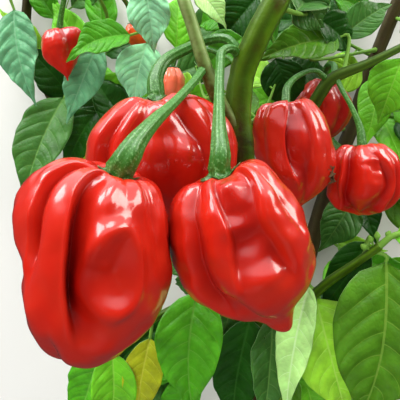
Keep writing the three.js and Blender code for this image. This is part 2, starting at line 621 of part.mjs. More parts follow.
// A point of a fruit's skin, made larger all over by grow.
function skin(fruit, axes, height, angle, grow) {
  const polar = Math.PI * height;
  const along = (1 - Math.cos(polar)) / 2;
  const belly = Math.pow(Math.sin(polar), THREE.MathUtils.lerp(fruit.blunt[0], fruit.blunt[1], along));
  const cos = Math.cos(angle);
  const sin = Math.sin(angle);
  const wide = flow(cos > 0 ? fruit.right : fruit.left, along);
  const thick = flow(sin > 0 ? fruit.front : fruit.back, along);
  const body = new THREE.Vector2(wide * cos, thick * sin);
  const slope = (-2 * Math.cos(polar)) / axes.length;
  const normal = new THREE.Vector3((cos * belly) / wide, (sin * belly) / thick, slope);
  normal.normalize();
  const sink = sinkOf(fruit, height, angle, body.length() * Math.max(belly, 0.3)) - grow;
  const radius = body.length() * belly;
  const [tipLength, tipRadius, tipShift] = fruit.tip;
  const shoulder = (1 - hill(radius / fruit.mouth)) * Math.max(1 - 1.6 * along, 0);
  const nose = hill(radius / tipRadius) * smooth(0.5, 1, height);
  const x = body.x * belly - normal.x * sink + tipShift * nose;
  const y = body.y * belly - normal.y * sink;
  const z = (axes.length - tipLength) * along - fruit.hollow * shoulder + tipLength * nose - normal.z * sink;
  return axes.seat.clone()
    .addScaledVector(axes.right, x)
    .addScaledVector(axes.front, y)
    .addScaledVector(axes.down, z);
}

// Columns of faces run down the folds, with others spread between them.
function columnAngles(fruit, height) {
  const angles = [];
  const folds = fruit.folds.map(([at]) => at).sort((a, b) => a[0] - b[0]);
  folds.forEach((at, k) => {
    const next = folds[(k + 1) % folds.length];
    const turn = k + 1 === folds.length ? 360 : 0;
    const columns = Math.max(2, Math.round((next[0] + turn - at[0]) / fruit.column));
    for (let j = 0; j < columns; j++) {
      angles.push(rad(THREE.MathUtils.lerp(flow(at, height), flow(next, height) + turn, j / columns)));
    }
  });
  return angles;
}

function fruitSolid(name, grow = 0) {
  const fruit = fruits.get(name);
  const axes = fruitAxes(fruit);
  const last = fruit.rings - 1;
  const heights = [];
  for (let i = 0; i <= last; i++) {
    heights.push((i === 0 ? 0.3 : i === last ? last - 0.3 : i) / last);
  }
  return ringSolid(heights.map((height) =>
    columnAngles(fruit, height).map((angle) => skin(fruit, axes, height, angle, grow)),
  ));
}

// A fruit stalk widens into a calyx that lies in the fruit's hollow, shaped to the skin below it.
// The calyx goes from its neck to under its rim: [height above the seat, radius], as shares of its size.
const CALYX = [[0.36, 0.86], [0.26, 1.0], [-0.5, 0.8]];
const NECK = 0.9; // height above the seat where the stalk ends, as a share of the calyx
const TOOTH = 0.9; // how far the rim is drawn in between its teeth
const LARGE_CALYX = 4.1; // above this size a calyx has more sides

function makeStalk({ on, fruit, route, radii, calyx }) {
  const { seat, down } = fruitAxes(fruits.get(fruit));
  const above = (share) => seat.clone().addScaledVector(down, -share * calyx);
  const places = [...route.map(seen), above(NECK)];
  const curve = new THREE.CatmullRomCurve3(places, false, "centripetal");
  const sides = calyx > LARGE_CALYX ? 10 : 6;
  const { rings, side } = tubeRings(curve, radii, sides, 8);
  side.addScaledVector(down, -side.dot(down)).normalize();
  const other = new THREE.Vector3().crossVectors(down, side);
  for (const [height, wide] of CALYX) {
    rings.push(ringRound(above(height), side, other, calyx * wide, sides, wide === 1 ? TOOTH : 1));
  }
  return clearOf(ringSolid(rings).subtract(fruitSolid(fruit, GAP)), on);
}

// Half width of a leaf blade, as a share of its full width, from foot to tip.
function bladeWidth(t) {
  return 0.5 * Math.pow(Math.sin(Math.PI * Math.pow(t, 0.72)), 0.85) * (1.08 - 0.3 * t) + 0.012;
}

// A thin leaf blade: three points across, a midrib that arches, and two halves lifted by the fold.
function blade(foot, tip, face, { width, bend, fold }, rows) {
  const along = tip.clone().sub(foot);
  const length = along.length();
  along.normalize();
  const side = new THREE.Vector3().crossVectors(along, face).normalize();
  const up = new THREE.Vector3().crossVectors(side, along).normalize();
  const lift = Math.tan(rad(fold));
  const top = [];
  const under = [];
  for (let i = 0; i <= rows; i++) {
    const t = i / rows;
    const arch = bend * 4 * t * (1 - t);
    for (const share of [-1, 0, 1]) {
      const half = bladeWidth(t) * width;
      const place = foot.clone()
        .addScaledVector(along, length * t)
        .addScaledVector(up, arch + (Math.abs(share) * half * lift) / (1 + lift))
        .addScaledVector(side, share * half);
      top.push(place.clone().addScaledVector(up, BLADE / 2));
      under.push(place.addScaledVector(up, -BLADE / 2));
    }
  }
  const points = [...top, ...under];
  const shift = top.length;
  const faces = [];
  for (let i = 0; i < rows; i++) {
    for (let j = 0; j < 2; j++) {
      const a = i * 3 + j;
      faces.push(a, a + 1, a + 3, a + 1, a + 4, a + 3);
      faces.push(shift + a, shift + a + 3, shift + a + 1, shift + a + 1, shift + a + 3, shift + a + 4);
    }
    const left = i * 3;
    const right = i * 3 + 2;
    faces.push(left, left + 3, shift + left, left + 3, shift + left + 3, shift + left);
    faces.push(right, shift + right, right + 3, right + 3, shift + right, shift + right + 3);
  }
  for (let j = 0; j < 2; j++) {
    const last = rows * 3 + j;
    faces.push(j, shift + j, j + 1, j + 1, shift + j, shift + j + 1);
    faces.push(last, last + 1, shift + last, last + 1, shift + last + 1, shift + last);
  }
  return solid(points, faces);
}

function leafFace(foot, tip, roll) {
  const along = tip.clone().sub(foot).normalize();
  return new THREE.Vector3(0, 0, 1).applyAxisAngle(along, rad(roll));
}

function leafSolid(leaf) {
  const foot = seen(leaf.foot);
  const tip = seen(leaf.tip);
  const root = curves.get(leaf.on).getPointAt(leaf.at);
  const along = tip.clone().sub(foot).normalize();
  const knee = foot.clone().addScaledVector(along, -root.distanceTo(foot) * 0.35);
  const stalk = new THREE.CatmullRomCurve3([root, knee, foot, foot.clone().addScaledVector(along, 2)]);
  return blade(foot, tip, leafFace(foot, tip, leaf.roll), leaf, LEAF_ROWS)
    .add(tube(stalk, [PETIOLE, PETIOLE], PETIOLE_SIDES, 3));
}

function randomFrom(seed) {
  let state = seed;
  return () => {
    state = (state * 16807) % 2147483647;
    return state / 2147483647;
  };
}

function shootSolid({ on, to, leaves, leaf, seed }) {
  const random = randomFrom(seed * 1000 + 7);
  const limb = curves.get(on);
  const start = limb.getPointAt(SHOOT_START);
  const end = seen(to);
  const heading = limb.getTangentAt(1);
  const middle = limb.getPointAt(1).addScaledVector(heading, start.distanceTo(end) * 0.4);
  const curve = new THREE.CatmullRomCurve3([start, middle, end]);
  let made = tube(curve, [SHOOT_RADIUS * 1.3, SHOOT_RADIUS * 0.7], 5, 4);
  for (let i = 0; i < leaves; i++) {
    const t = BARE + (LEAFY * i) / (leaves - 1);
    const foot = curve.getPointAt(t);
    const ahead = curve.getTangentAt(t);
    const turn = TURN * i + random();
    const across = new THREE.Vector3().crossVectors(ahead, new THREE.Vector3(0, 0, 1)).normalize();
    const out = across.applyAxisAngle(ahead, turn);
    const length = leaf * (SHORTEST_LEAF + LEAF_SPREAD * random()) * (1.05 - 0.45 * t);
    const way = out.multiplyScalar(0.8).addScaledVector(ahead, 0.7);
    way.z *= 0.55;
    way.normalize();
    const tip = foot.clone().addScaledVector(way, length);
    tip.z = Math.max(tip.z, LOWEST_LEAF + 1);
    const face = new THREE.Vector3(0, 0, 1).addScaledVector(ahead, 0.3);
    const shape = { width: length * LEAF_SHAPE.width, bend: length * LEAF_SHAPE.bend, fold: LEAF_FOLD };
    made = made.add(blade(foot, tip, face, shape, SHOOT_LEAF_ROWS));
  }
  return made;
}

const GREENS = { stem: 0x5c7a2a, stalk: 0x4f8a34, leaf: 0x3f7d26 };

function mesh(name, made, colour, roughness) {
  const { vertProperties, triVerts, numProp } = made.getMesh();
  const positions = new Float32Array(vertProperties.length);
  positions.set(vertProperties);
  const geometry = new THREE.BufferGeometry();
  geometry.setAttribute("position", new THREE.BufferAttribute(positions, numProp));
  geometry.setIndex(new THREE.BufferAttribute(triVerts, 1));
  const material = new THREE.MeshStandardMaterial({ color: colour, roughness, metalness: 0 });
  const piece = new THREE.Mesh(geometry, material);
  piece.name = name;
  return piece;
}

const branch = new THREE.Group();
for (const limb of LIMBS) {
  branch.add(mesh(limb.name, makeLimb(limb), GREENS.stem, 0.6));
}
for (const twig of TWIGS) {
  branch.add(mesh(twig.name, makeTwig(twig), GREENS.leaf, 0.5));
}
for (const fruit of FRUIT) {
  const colour = fruit.name === "fruit_orange" ? 0xe0641c : 0xc4160c;
  branch.add(mesh(fruit.name, fruitSolid(fruit.name), colour, 0.2));
}
for (const stalk of STALKS) {
  branch.add(mesh(stalk.name, makeStalk(stalk), GREENS.stalk, 0.45));
}
const onLimb = (piece) => LIMBS.some((limb) => limb.name === piece.on);
for (const leaf of LEAVES.filter(onLimb)) {
  branch.add(mesh(leaf.name, clearOf(leafSolid(leaf), leaf.on), GREENS.leaf, 0.5));
}
for (const shoot of SHOOTS.filter(onLimb)) {
  branch.add(mesh(shoot.name, clearOf(shootSolid(shoot), shoot.on), GREENS.leaf, 0.5));
}

// The origin is under the middle of the branch, on the surface that it lies on.
const box = new THREE.Box3().setFromObject(branch, true);
const middle = box.getCenter(new THREE.Vector3());
branch.position.set(-middle.x, -middle.y, -box.min.z);

export default branch;
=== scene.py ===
# %% [markdown]
# # A fruiting branch of a bonnet pepper plant
# A solid model of the branch comes from another program and fixes where everything is. This lesson gives
# it its looks: nine glossy fruits, their stalks and calyxes, ridged green stems, veined leaves, buds.
# Almost everything is a mesh worked out from a rule, because a plant repeats itself with small changes:
# one rule for a fruit, one for a stem and one for a leaf, each fed with other sizes.

# %% Load the solid model
import math

import bpy
import mathutils
import numpy as np
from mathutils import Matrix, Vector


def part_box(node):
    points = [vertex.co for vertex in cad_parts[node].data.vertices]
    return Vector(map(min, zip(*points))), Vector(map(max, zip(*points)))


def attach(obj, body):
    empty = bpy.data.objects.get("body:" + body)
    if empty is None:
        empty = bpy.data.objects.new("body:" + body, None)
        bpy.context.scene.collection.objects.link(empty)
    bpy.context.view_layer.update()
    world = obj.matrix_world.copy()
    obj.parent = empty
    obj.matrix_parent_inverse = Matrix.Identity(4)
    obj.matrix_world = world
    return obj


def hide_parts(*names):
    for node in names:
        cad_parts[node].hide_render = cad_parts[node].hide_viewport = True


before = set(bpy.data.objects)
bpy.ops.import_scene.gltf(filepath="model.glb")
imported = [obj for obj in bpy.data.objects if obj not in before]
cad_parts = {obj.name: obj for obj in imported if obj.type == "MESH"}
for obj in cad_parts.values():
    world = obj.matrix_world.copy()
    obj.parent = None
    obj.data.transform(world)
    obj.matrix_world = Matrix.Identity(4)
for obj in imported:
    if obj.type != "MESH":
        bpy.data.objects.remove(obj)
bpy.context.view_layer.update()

# %% [markdown]
# ## Where things are
# The branch lies on a table and is looked at from straight above. The easiest way to say where a fruit
# or a leaf lies is the way an eye finds it: how far right, how far down, and how far away. `seen` turns
# such a place into millimetres. Nearly all numbers in the lists below are the ones that the solid model
# was made from. Only three leaves are set up to 3 mm away from their place in it.

# %% Turn a place as the eye sees it into millimetres
EYE_HEIGHT = 270  # mm above the table
HALF_VIEW = math.radians(20)
PICTURE = 400  # width and height of the view that the places are given in


def seen(place):
    x, y, away = place
    scale = 2 * away * math.tan(HALF_VIEW) / PICTURE
    return np.array([(x - PICTURE / 2) * scale, (PICTURE / 2 - y) * scale, EYE_HEIGHT - away])


print("a point 150 mm away in the middle of the view:", seen((200, 200, 150)))

# %% [markdown]
# ## Helpers for meshes
# Blender can make a tube from a curve and a ball from a primitive, but a fruit with folds or a leaf with
# veins needs its points where the folds and veins run. So each shape here is three arrays: points in
# millimetres, faces as rows of four point numbers (a triangle has -1 as its last), and the number of the
# finish that each face takes. Arrays are quick to work out and easy to join.

# %% Join shapes, close them and turn them into Blender objects
def joined(shapes):
    """Several shapes as one."""
    points, faces, finishes, count = [], [], [], 0
    for p, f, kind in shapes:
        points.append(p)
        faces.append(np.where(f >= 0, f + count, -1))
        finishes.append(kind)
        count += len(p)
    return np.concatenate(points), np.concatenate(faces), np.concatenate(finishes)


def faced_out(points, faces):
    """The faces of a closed shape, turned so that they face outwards."""
    a, b, c = (points[faces[:, k]] for k in range(3))
    d = points[np.where(faces[:, 3] < 0, faces[:, 2], faces[:, 3])]
    volume = np.einsum("ij,ij->", a, np.cross(b, c)) + np.einsum("ij,ij->", a, np.cross(c, d))
    if volume > 0:
        return faces
    flipped = faces[:, ::-1].copy()
    triangle = faces[:, 3] < 0
    flipped[triangle] = np.stack([faces[triangle, 2], faces[triangle, 1], faces[triangle, 0],
                                  faces[triangle, 3]], -1)
    return flipped


def sleeve(rows, count):
    """Faces between rings of points that each go round."""
    i, j = np.mgrid[0:rows - 1, 0:count]
    k = (j + 1) % count
    corners = [i * count + j, i * count + k, (i + 1) * count + k, (i + 1) * count + j]
    return np.stack(corners, -1).reshape(-1, 4)


def closed_rings(rings):
    """A closed shape from rings of points, its two ends closed by fans."""
    rows, count = rings.shape[:2]
    points = np.vstack([rings.reshape(-1, 3), rings[0].mean(0), rings[-1].mean(0)])
    j = np.arange(count)
    k = (j + 1) % count
    ends = [np.stack([np.full(count, rows * count), k, j, np.full(count, -1)], -1),
            np.stack([np.full(count, rows * count + 1), (rows - 1) * count + j, (rows - 1) * count + k,
                      np.full(count, -1)], -1)]
    faces = faced_out(points, np.vstack([sleeve(rows, count), *ends]))
    return points, faces, np.zeros(len(faces), int)


shift = np.zeros(3)  # from the eye's frame to the solid model's, worked out below


# %% Make a Blender object of a shape
def make_piece(name, shape, materials, slot, replaced=(), **marks):
    """A Blender object that rides on the branch. Marks are numbers for each point, for a finish to read."""
    points, faces, finishes = shape
    mesh = bpy.data.meshes.new(name)
    mesh.vertices.add(len(points))
    mesh.vertices.foreach_set("co", ((points + shift) / 1000).astype(np.float32).ravel())
    totals = (faces >= 0).sum(1)
    corners = faces[faces >= 0]
    mesh.loops.add(len(corners))
    mesh.loops.foreach_set("vertex_index", corners.astype(np.int32))
    mesh.polygons.add(len(faces))
    mesh.polygons.foreach_set("loop_start", np.concatenate([[0], np.cumsum(totals)[:-1]]).astype(np.int32))
    mesh.update(calc_edges=True)
    mesh.validate()
    for material in materials:
        mesh.materials.append(material)
    mesh.polygons.foreach_set("material_index", finishes.astype(np.int32))
    mesh.polygons.foreach_set("use_smooth", np.ones(len(faces), bool))
    for mark, values in marks.items():
        mesh.attributes.new(mark, "FLOAT", "POINT").data.foreach_set("value", values.astype(np.float32))
    piece = bpy.data.objects.new(name, mesh)
    bpy.context.scene.collection.objects.link(piece)
    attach(piece, "root")
    if replaced:
        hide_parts(*replaced)
    print(name, "triangles:", int((totals - 2).sum()))
    return piece


# %% [markdown]
# ## Swells that are never quite even
# Nothing on a plant is exactly smooth. A sum of a few waves in seeded directions gives a soft random
# relief, the same each time the script runs. The size is the distance from one swell to the next.

# %% A seeded relief
def swells(points, size, seed, waves=14):
    """Random relief at each point, mostly between -1 and 1, with swells about size mm apart."""
    rng = np.random.default_rng(seed)
    ways = rng.normal(size=(waves, 3))
    ways *= 2 * math.pi / (size * rng.uniform(0.7, 1.5, (waves, 1)) * np.linalg.norm(ways, axis=1)[:, None])
    return np.sin(points @ ways.T + rng.uniform(0, 2 * math.pi, waves)).sum(-1) / math.sqrt(waves)


def eased(low, high, x):
    """From 0 at low to 1 at high, with soft ends."""
    t = np.clip((x - low) / (high - low), 0, 1)
    return t * t * (3 - 2 * t)


def hill(x):
    return np.exp(-x * x)


print("a relief at the origin:", swells(np.zeros((1, 3)), 10, 1).round(3))

# %% [markdown]
# ## Helpers for finishes
# A finish is a Principled shader with a few nodes in front of it. Colours are written as sRGB hex, as a
# colour picker shows them, and the shader wants linear light, so one function turns them. One function
# adds a node with its settings and links. A pattern's scale is written as a size in millimetres.

# %% Colours, nodes and a base shader
def linear(text):
    """An sRGB hex colour as linear red, green, blue and alpha."""
    values = [int(text[k:k + 2], 16) / 255 for k in (1, 3, 5)]
    return [v / 12.92 if v <= 0.04045 else ((v + 0.055) / 1.055) ** 2.4 for v in values] + [1]


def add_node(tree, kind, sockets=None, **settings):
    """A new node. A socket takes a number, a colour, or the output of another node."""
    made = tree.nodes.new(kind)
    for setting, value in settings.items():
        setattr(made, setting, value)
    for socket, value in (sockets or {}).items():
        if isinstance(value, bpy.types.NodeSocket):
            tree.links.new(value, made.inputs[socket])
        else:
            made.inputs[socket].default_value = value
    return made


MIX_A, MIX_B = 6, 7  # the two colour sockets of a Mix node
MIXED = 2  # and its colour output


def per_metre(size):
    """The scale of a pattern whose marks are size mm apart."""
    return 1000 / size


def new_finish(name, **sockets):
    """A material and its node tree, with one Principled shader."""
    material = bpy.data.materials.new(name)
    material.use_nodes = True
    tree = material.node_tree
    shader = tree.nodes["Principled BSDF"]
    for socket, value in sockets.items():
        shader.inputs[socket.replace("_", " ")].default_value = value
    return material, tree, shader


print("mid grey in linear light:", [round(v, 3) for v in linear("#808080")])

# %% [markdown]
# ## The fruits
# A bonnet pepper is a hollow berry with a thin wall. The wall is held in where its inner ribs run, so it
# swells into lobes between deep folds, and it dents where it lies against nothing. It could be sculpted
# by hand from a ball, but nine fruits and a solid model that must agree with them ask for a rule: a plump
# body with its own half widths to the left, right, front and back, folds that run down it, a hollow round
# the seat of the stalk, and the blossom tip. A fold is sharp where its exponent is near 1. Columns of
# points run down the folds, so a sharp crease stays sharp without a very fine mesh.

# %% Sizes of the three nearest fruits
# Angles are in degrees round the fruit: 0 right, 90 to the eye, 180 left. Heights go from 0 at the seat
# to 1 at the tip. A fold: [angles down it, width on its right and left side, depths down it, from, to,
# exponent of its right and left wall]. The widths hold half-way down: a fold is half as wide at the seat
# and one and a half times as wide at the tip. `lean` names folds by their number and says how far each
# leans over, as a share of its depth. Only the looks have it, and the solid's folds stand upright.
# A bump: [angle, height, half width in degrees, half height, how far it stands out, and its rim does].
RIM_AT = 1.3  # the rim of a dent, as a share of the dent's own reach
RIM_WIDE = 0.34  # its half width, as the same share
LIP = 0.1  # how far the skin beside a leaning fold swells, as a share of the fold's depth


def back_folds(size, angles):
    wide = [5 * size, 5 * size]
    deep = [2.2 * size, 3.2 * size, 2.6 * size]
    return [[[angle, angle + 4], wide, deep, 0.08, 0.95, [1.4, 1.4]] for angle in angles]


FRUIT = [
    dict(name="fruit_front_left", seat=(118, 179, 145), end=(75, 359, 153),
         left=(23.4, 22.8, 19.4, 17.6, 17.8), right=(16.4, 18.4, 20.3, 18.8, 16.4),
         front=(19, 21, 20.5, 20, 16), back=(20, 21, 20, 18, 15),
         blunt=(0.55, 0.64), mouth=8, hollow=4.5, tip=(0.5, 5, 0),
         rings=17, column=11,
         folds=[
             [[88, 101, 102, 98, 92, 81, 70, 69, 68], [5, 2], [1.2, 3.8, 5.8, 7, 7.2], 0.06, 0.67, [2.4, 3]],
             [[124, 138, 140, 134, 131, 131, 132, 134, 136], [3, 2.2], [1.8, 3.2, 3.8, 2],
              0.06, 0.56, [1.5, 1.6]],
             [[66, 62, 58], [3, 3], [1.4, 0.8, 0], 0.05, 0.3, [1.5, 1.5]],
             [[34, 26, 20], [2.2, 3.4], [1, 1.4, 0], 0.06, 0.5, [1.3, 1.8]],
             [[112, 110, 104], [1.8, 2.4], [0, 1.2, 1.4, 0.6], 0.6, 0.98, [1.5, 1.7]],
             *back_folds(1, [208, 258, 312])],
         lean={0: 0.5, 1: 0.5},
         bumps=[[67, 0.435, 14.5, 0.09, -4.8, 2.2], [83, 0.46, 5, 0.1, 0.9, 0], [86, 0.25, 10, 0.08, 0.9, 0],
                [180, 0.37, 30, 0.15, 4, 0], [180, 0.53, 26, 0.035, -3.4, 0], [128, 0.6, 12, 0.3, 1, 0],
                [76, 0.42, 7, 0.014, 0.5, 0],
                [110, 0.3, 10, 0.2, 0.8, 0]]),
    dict(name="fruit_front_middle", seat=(222, 178, 155), end=(287, 331, 161),
         left=(20.5, 21.8, 22.6, 20.8, 18), right=(17.4, 17.2, 17.2, 16.6, 12),
         front=(17, 20, 19.5, 18, 15), back=(17, 19, 18, 17, 14),
         blunt=(0.55, 0.64), mouth=8, hollow=4, tip=(6.5, 5, 0),
         rings=17, column=11,
         folds=[
             [[146, 131, 130, 129, 133, 136, 138, 138, 138], [3, 3.4], [1.8, 3, 4, 4, 1.6],
              0.06, 0.8, [1.7, 1.5]],
             [[98, 100, 99, 98, 103, 106, 104, 100, 98], [6.5, 1.6], [2.2, 3.2, 3.2, 2.8, 0.6],
              0.05, 0.66, [2.6, 2.4]],
             [[60, 64, 70, 78, 74, 70, 66, 62, 60], [2, 5], [2, 3, 3.2, 2.8, 0.6], 0.05, 0.7, [2.2, 2]],
             [[44, 42, 40, 36], [1.6, 2.2], [0.4, 1.1, 0.8, 0.2], 0.1, 0.6, [1.3, 1.6]],
             [[130, 124, 116], [1.8, 2.2], [0, 1.2, 1.2, 0.4], 0.55, 0.98, [1.5, 1.6]],
             *back_folds(0.95, [208, 258, 312])],
         lean={0: 0.4, 1: 0.35, 2: -0.35},
         bumps=[[88, 0.2, 12, 0.06, 2.2, 0], [90, 0.31, 10, 0.035, -1, 0], [96, 0.38, 9, 0.03, 0.7, 0],
                [93, 0.44, 15, 0.05, -1.6, 0], [98, 0.58, 24, 0.045, 2.2, 0],
                [112, 0.4, 8, 0.16, 0.8, 0], [58, 0.4, 12, 0.2, 1.4, 0], [84, 0.72, 26, 0.08, 0.8, 0]]),
    dict(name="fruit_behind", seat=(157, 103, 175.8), end=(168, 222, 177),
         left=(20, 24.4, 23.4, 16), right=(20, 24.6, 23, 16),
         front=(17.5, 17.8, 16, 12), back=(17, 17, 17, 13),
         blunt=(0.5, 0.62), mouth=7, hollow=2.8, tip=(0.5, 4.5, 0),
         rings=13, column=14,
         folds=[
             [[112, 123, 136, 142, 146], [3.4, 3], [1.8, 3.2, 3.4, 2], 0.05, 0.9, [1.6, 1.5]],
             [[95, 98, 111, 116, 120], [3.4, 2.6], [2.2, 3.4, 2.8, 1.6], 0.05, 0.9, [1.7, 1.5]],
             [[88, 88, 85, 81, 78], [2.6, 2.8], [0.6, 1.6, 2.8, 2.4, 1], 0.05, 0.85, [1.5, 1.5]],
             [[78, 69, 57, 54, 52], [3.4, 3.6], [2.4, 3.6, 3.4, 2], 0.05, 0.88, [1.4, 1.7]],
             [[26, 28, 28], [2.6, 3.4], [1.4, 2, 1.4], 0.06, 0.8, [1.4, 1.6]],
             *back_folds(1.1, [208, 258, 312])],
         lean={0: 0.3, 1: 0.3, 3: -0.25},
         bumps=[[76, 0.39, 13, 0.06, -1.3, 0], [72, 0.52, 14, 0.06, 1.4, 0], [88, 0.17, 7, 0.06, 0.9, 0]]),
]

# %% Sizes of the three fruits on the right
FRUIT += [
    dict(name="fruit_right", seat=(286, 106, 198), end=(300, 213, 200),
         left=(15.8, 15, 14, 10.6, 5), right=(13.8, 14.2, 14.4, 12.8, 4.6),
         front=(12.4, 13.4, 13, 11, 6), back=(12, 13.4, 13, 11, 6),
         blunt=(0.5, 0.62), mouth=5.4, hollow=2.9, tip=(1.1, 2.3, -0.5),
         rings=13, column=16,
         folds=[
             [[84, 84, 89, 98, 99, 89, 80, 77, 76], [5, 1.3], [1.6, 3, 3.4, 3.2, 2.4], 0.06, 0.7, [1.9, 3]],
             [[138, 143, 140, 134, 130], [2.6, 2.6], [1, 1.4, 0.8, 0.3], 0.06, 0.8, [1.5, 1.5]],
             [[68, 68, 69, 72, 72, 70], [1.2, 2.6], [0.6, 1.4, 1.4, 0.8], 0.08, 0.8, [2, 1.6]],
             [[42, 42, 40, 34], [1.4, 2.4], [0.5, 0.8, 0.8, 0.4], 0.08, 0.9, [1.3, 1.7]],
             [[80, 79, 78, 75, 72], [1.6, 1.6], [0, 0.4, 1.2, 1.6], 0.4, 0.98, [1.5, 1.5]],
             *back_folds(0.8, [190, 235, 290])],
         lean={0: 0.45, 2: -0.3},
         bumps=[[112, 0.4, 16, 0.2, -0.6, 0.2], [14, 0.6, 30, 0.2, 1.1, 0], [96, 0.5, 9, 0.06, -1, 0],
                [92, 0.62, 10, 0.05, 1.5, 0]]),
    dict(name="fruit_far_right", seat=(362, 148, 207), end=(363, 216, 208),
         left=(13, 13, 13.4, 14, 12), right=(12.2, 13.8, 14.6, 14.8, 13),
         front=(11.6, 12.8, 12.8, 12, 10), back=(11, 12.6, 12.6, 11.6, 9.6),
         blunt=(0.5, 0.5), mouth=5, hollow=2.5, tip=(0.3, 2.7, 0),
         rings=10, column=18,
         folds=[
             [[130, 128, 128, 136, 140], [3, 2], [1.8, 3.6, 4, 3.4], 0.05, 0.99, [1.5, 2.4]],
             [[97, 88, 64, 78, 88], [2, 2.8], [0.6, 1.8, 3, 2.6, 2.2], 0.05, 0.99, [2, 1.6]],
             [[46, 40, 38, 44], [1.8, 2.4], [1, 1.8, 2.2, 1.4], 0.08, 0.96, [1.3, 1.7]],
             [[150, 154, 156], [2.3, 2.6], [1.2, 1.8, 1.6], 0.06, 0.95, [1.5, 1.6]],
             *back_folds(0.75, [205, 262, 318])],
         lean={0: 0.35, 1: -0.3},
         bumps=[[88, 0.42, 8, 0.09, -1.6, 1.1], [144, 0.84, 10, 0.07, 2.6, 0], [170, 0.8, 14, 0.08, 1.2, 0],
                [66, 0.86, 16, 0.07, 2, 0], [110, 0.87, 10, 0.07, 2.4, 0], [20, 0.3, 22, 0.15, 0.7, 0]]),
    dict(name="fruit_under_fork", seat=(322, 81, 236), end=(322, 149, 236),
         left=(9, 13.1, 11.2, 6.3), right=(9, 13.1, 11.7, 7.2),
         front=(9, 11.7, 9.9, 6.3), back=(9, 11.7, 9.9, 6.3),
         blunt=(0.55, 0.7), mouth=4, hollow=2, tip=(1.1, 2.2, 0),
         rings=9, column=22,
         folds=[
             [[112, 118, 116], [2.5, 2.5], [1.4, 2.6, 1.6], 0.06, 0.95, [1.5, 1.5]],
             [[66, 56, 58], [2.5, 3], [1.4, 2.6, 1.8], 0.06, 0.95, [1.4, 1.7]],
             [[26, 20], [2.3, 2.3], [1.1, 1.3], 0.08, 0.9, [1.5, 1.5]],
             [[160, 162], [2.3, 2.3], [1.1, 1.3], 0.08, 0.9, [1.5, 1.5]],
             *back_folds(0.7, [208, 258, 312])],
         bumps=[]),
]

# %% Sizes of the three small fruits at the upper left
FRUIT += [
    dict(name="fruit_upper_left", seat=(60, 32, 227), end=(68, 81, 227),
         left=(9, 9.2, 8.4, 5.2, 2.4), right=(9, 9, 6.8, 4.2, 2),
         front=(8, 8, 6.4, 4.4, 2.2), back=(8, 8, 6.4, 4.4, 2.2),
         blunt=(0.5, 0.74), mouth=2.7, hollow=1.4, tip=(0.8, 1.6, 0),
         rings=9, column=24,
         folds=[
             [[70, 56, 52], [2.4, 2.4], [1.4, 1.8, 0.7], 0.06, 0.7, [1.6, 1.6]],
             [[116, 122], [2.2, 2.2], [0.5, 0.5], 0.08, 0.8, [1.5, 1.5]],
             *back_folds(0.4, [200, 290])],
         bumps=[[20, 0.26, 26, 0.11, 1.6, 0], [34, 0.45, 22, 0.09, -1.2, 0]]),
    dict(name="fruit_orange", seat=(133, 24, 236), end=(142, 52, 236),
         left=(4.1, 5, 4.1, 2.7), right=(4.1, 5, 4.3, 2.7),
         front=(4.1, 5, 4.1, 2.7), back=(4.1, 5, 4.1, 2.7),
         blunt=(0.55, 0.7), mouth=2.2, hollow=0.9, tip=(0.5, 1.3, 0),
         rings=7, column=36,
         folds=[
             [[120, 122], [1.3, 1.3], [0.7, 0.6], 0.08, 0.9, [1.4, 1.4]],
             [[58, 54], [1.3, 1.3], [0.7, 0.6], 0.08, 0.9, [1.4, 1.4]],
             *back_folds(0.3, [215, 300])],
         bumps=[]),
    dict(name="fruit_half_hidden", seat=(173, 68, 221.5), end=(172, 103, 223),
         left=(4, 5, 4.5, 2.7), right=(4, 5, 4.5, 2.7),
         front=(4, 5, 4.5, 2.7), back=(4, 5, 4.5, 2.7),
         blunt=(0.55, 0.7), mouth=2.2, hollow=0.8, tip=(0.5, 1.3, 0),
         rings=7, column=36,
         folds=[
             [[124, 126], [1.3, 1.3], [0.6, 0.5], 0.08, 0.9, [1.4, 1.4]],
             [[62, 60], [1.3, 1.3], [0.6, 0.5], 0.08, 0.9, [1.4, 1.4]],
             *back_folds(0.3, [215, 300])],
         bumps=[]),
]
print("fruits:", len(FRUIT))

# %% The skin of a fruit as a rule
def flow(values, t):
    """A smooth curve through values spread evenly from 0 to 1."""
    v = np.asarray(values, float)
    last = len(v) - 1
    place = np.clip(t, 0, 1) * last
    i = np.minimum(place.astype(int), last - 1)
    f = place - i
    a, b, c, d = v[np.maximum(i - 1, 0)], v[i], v[i + 1], v[np.minimum(i + 2, last)]
    return b + 0.5 * f * (c - a + f * (2 * a - 5 * b + 4 * c - d + f * (3 * (b - c) + d - a)))


def turned(angle):
    return np.arctan2(np.sin(angle), np.cos(angle))


def fruit_axes(fruit):
    """The seat, the directions down the fruit, to its right and to its front, and its length."""
    seat = seen(fruit["seat"])
    down = seen(fruit["end"]) - seat
    length = np.linalg.norm(down)
    down /= length
    right = np.cross((0, 0, 1), down)
    right /= np.linalg.norm(right)
    return seat, down, right, np.cross(down, right), length


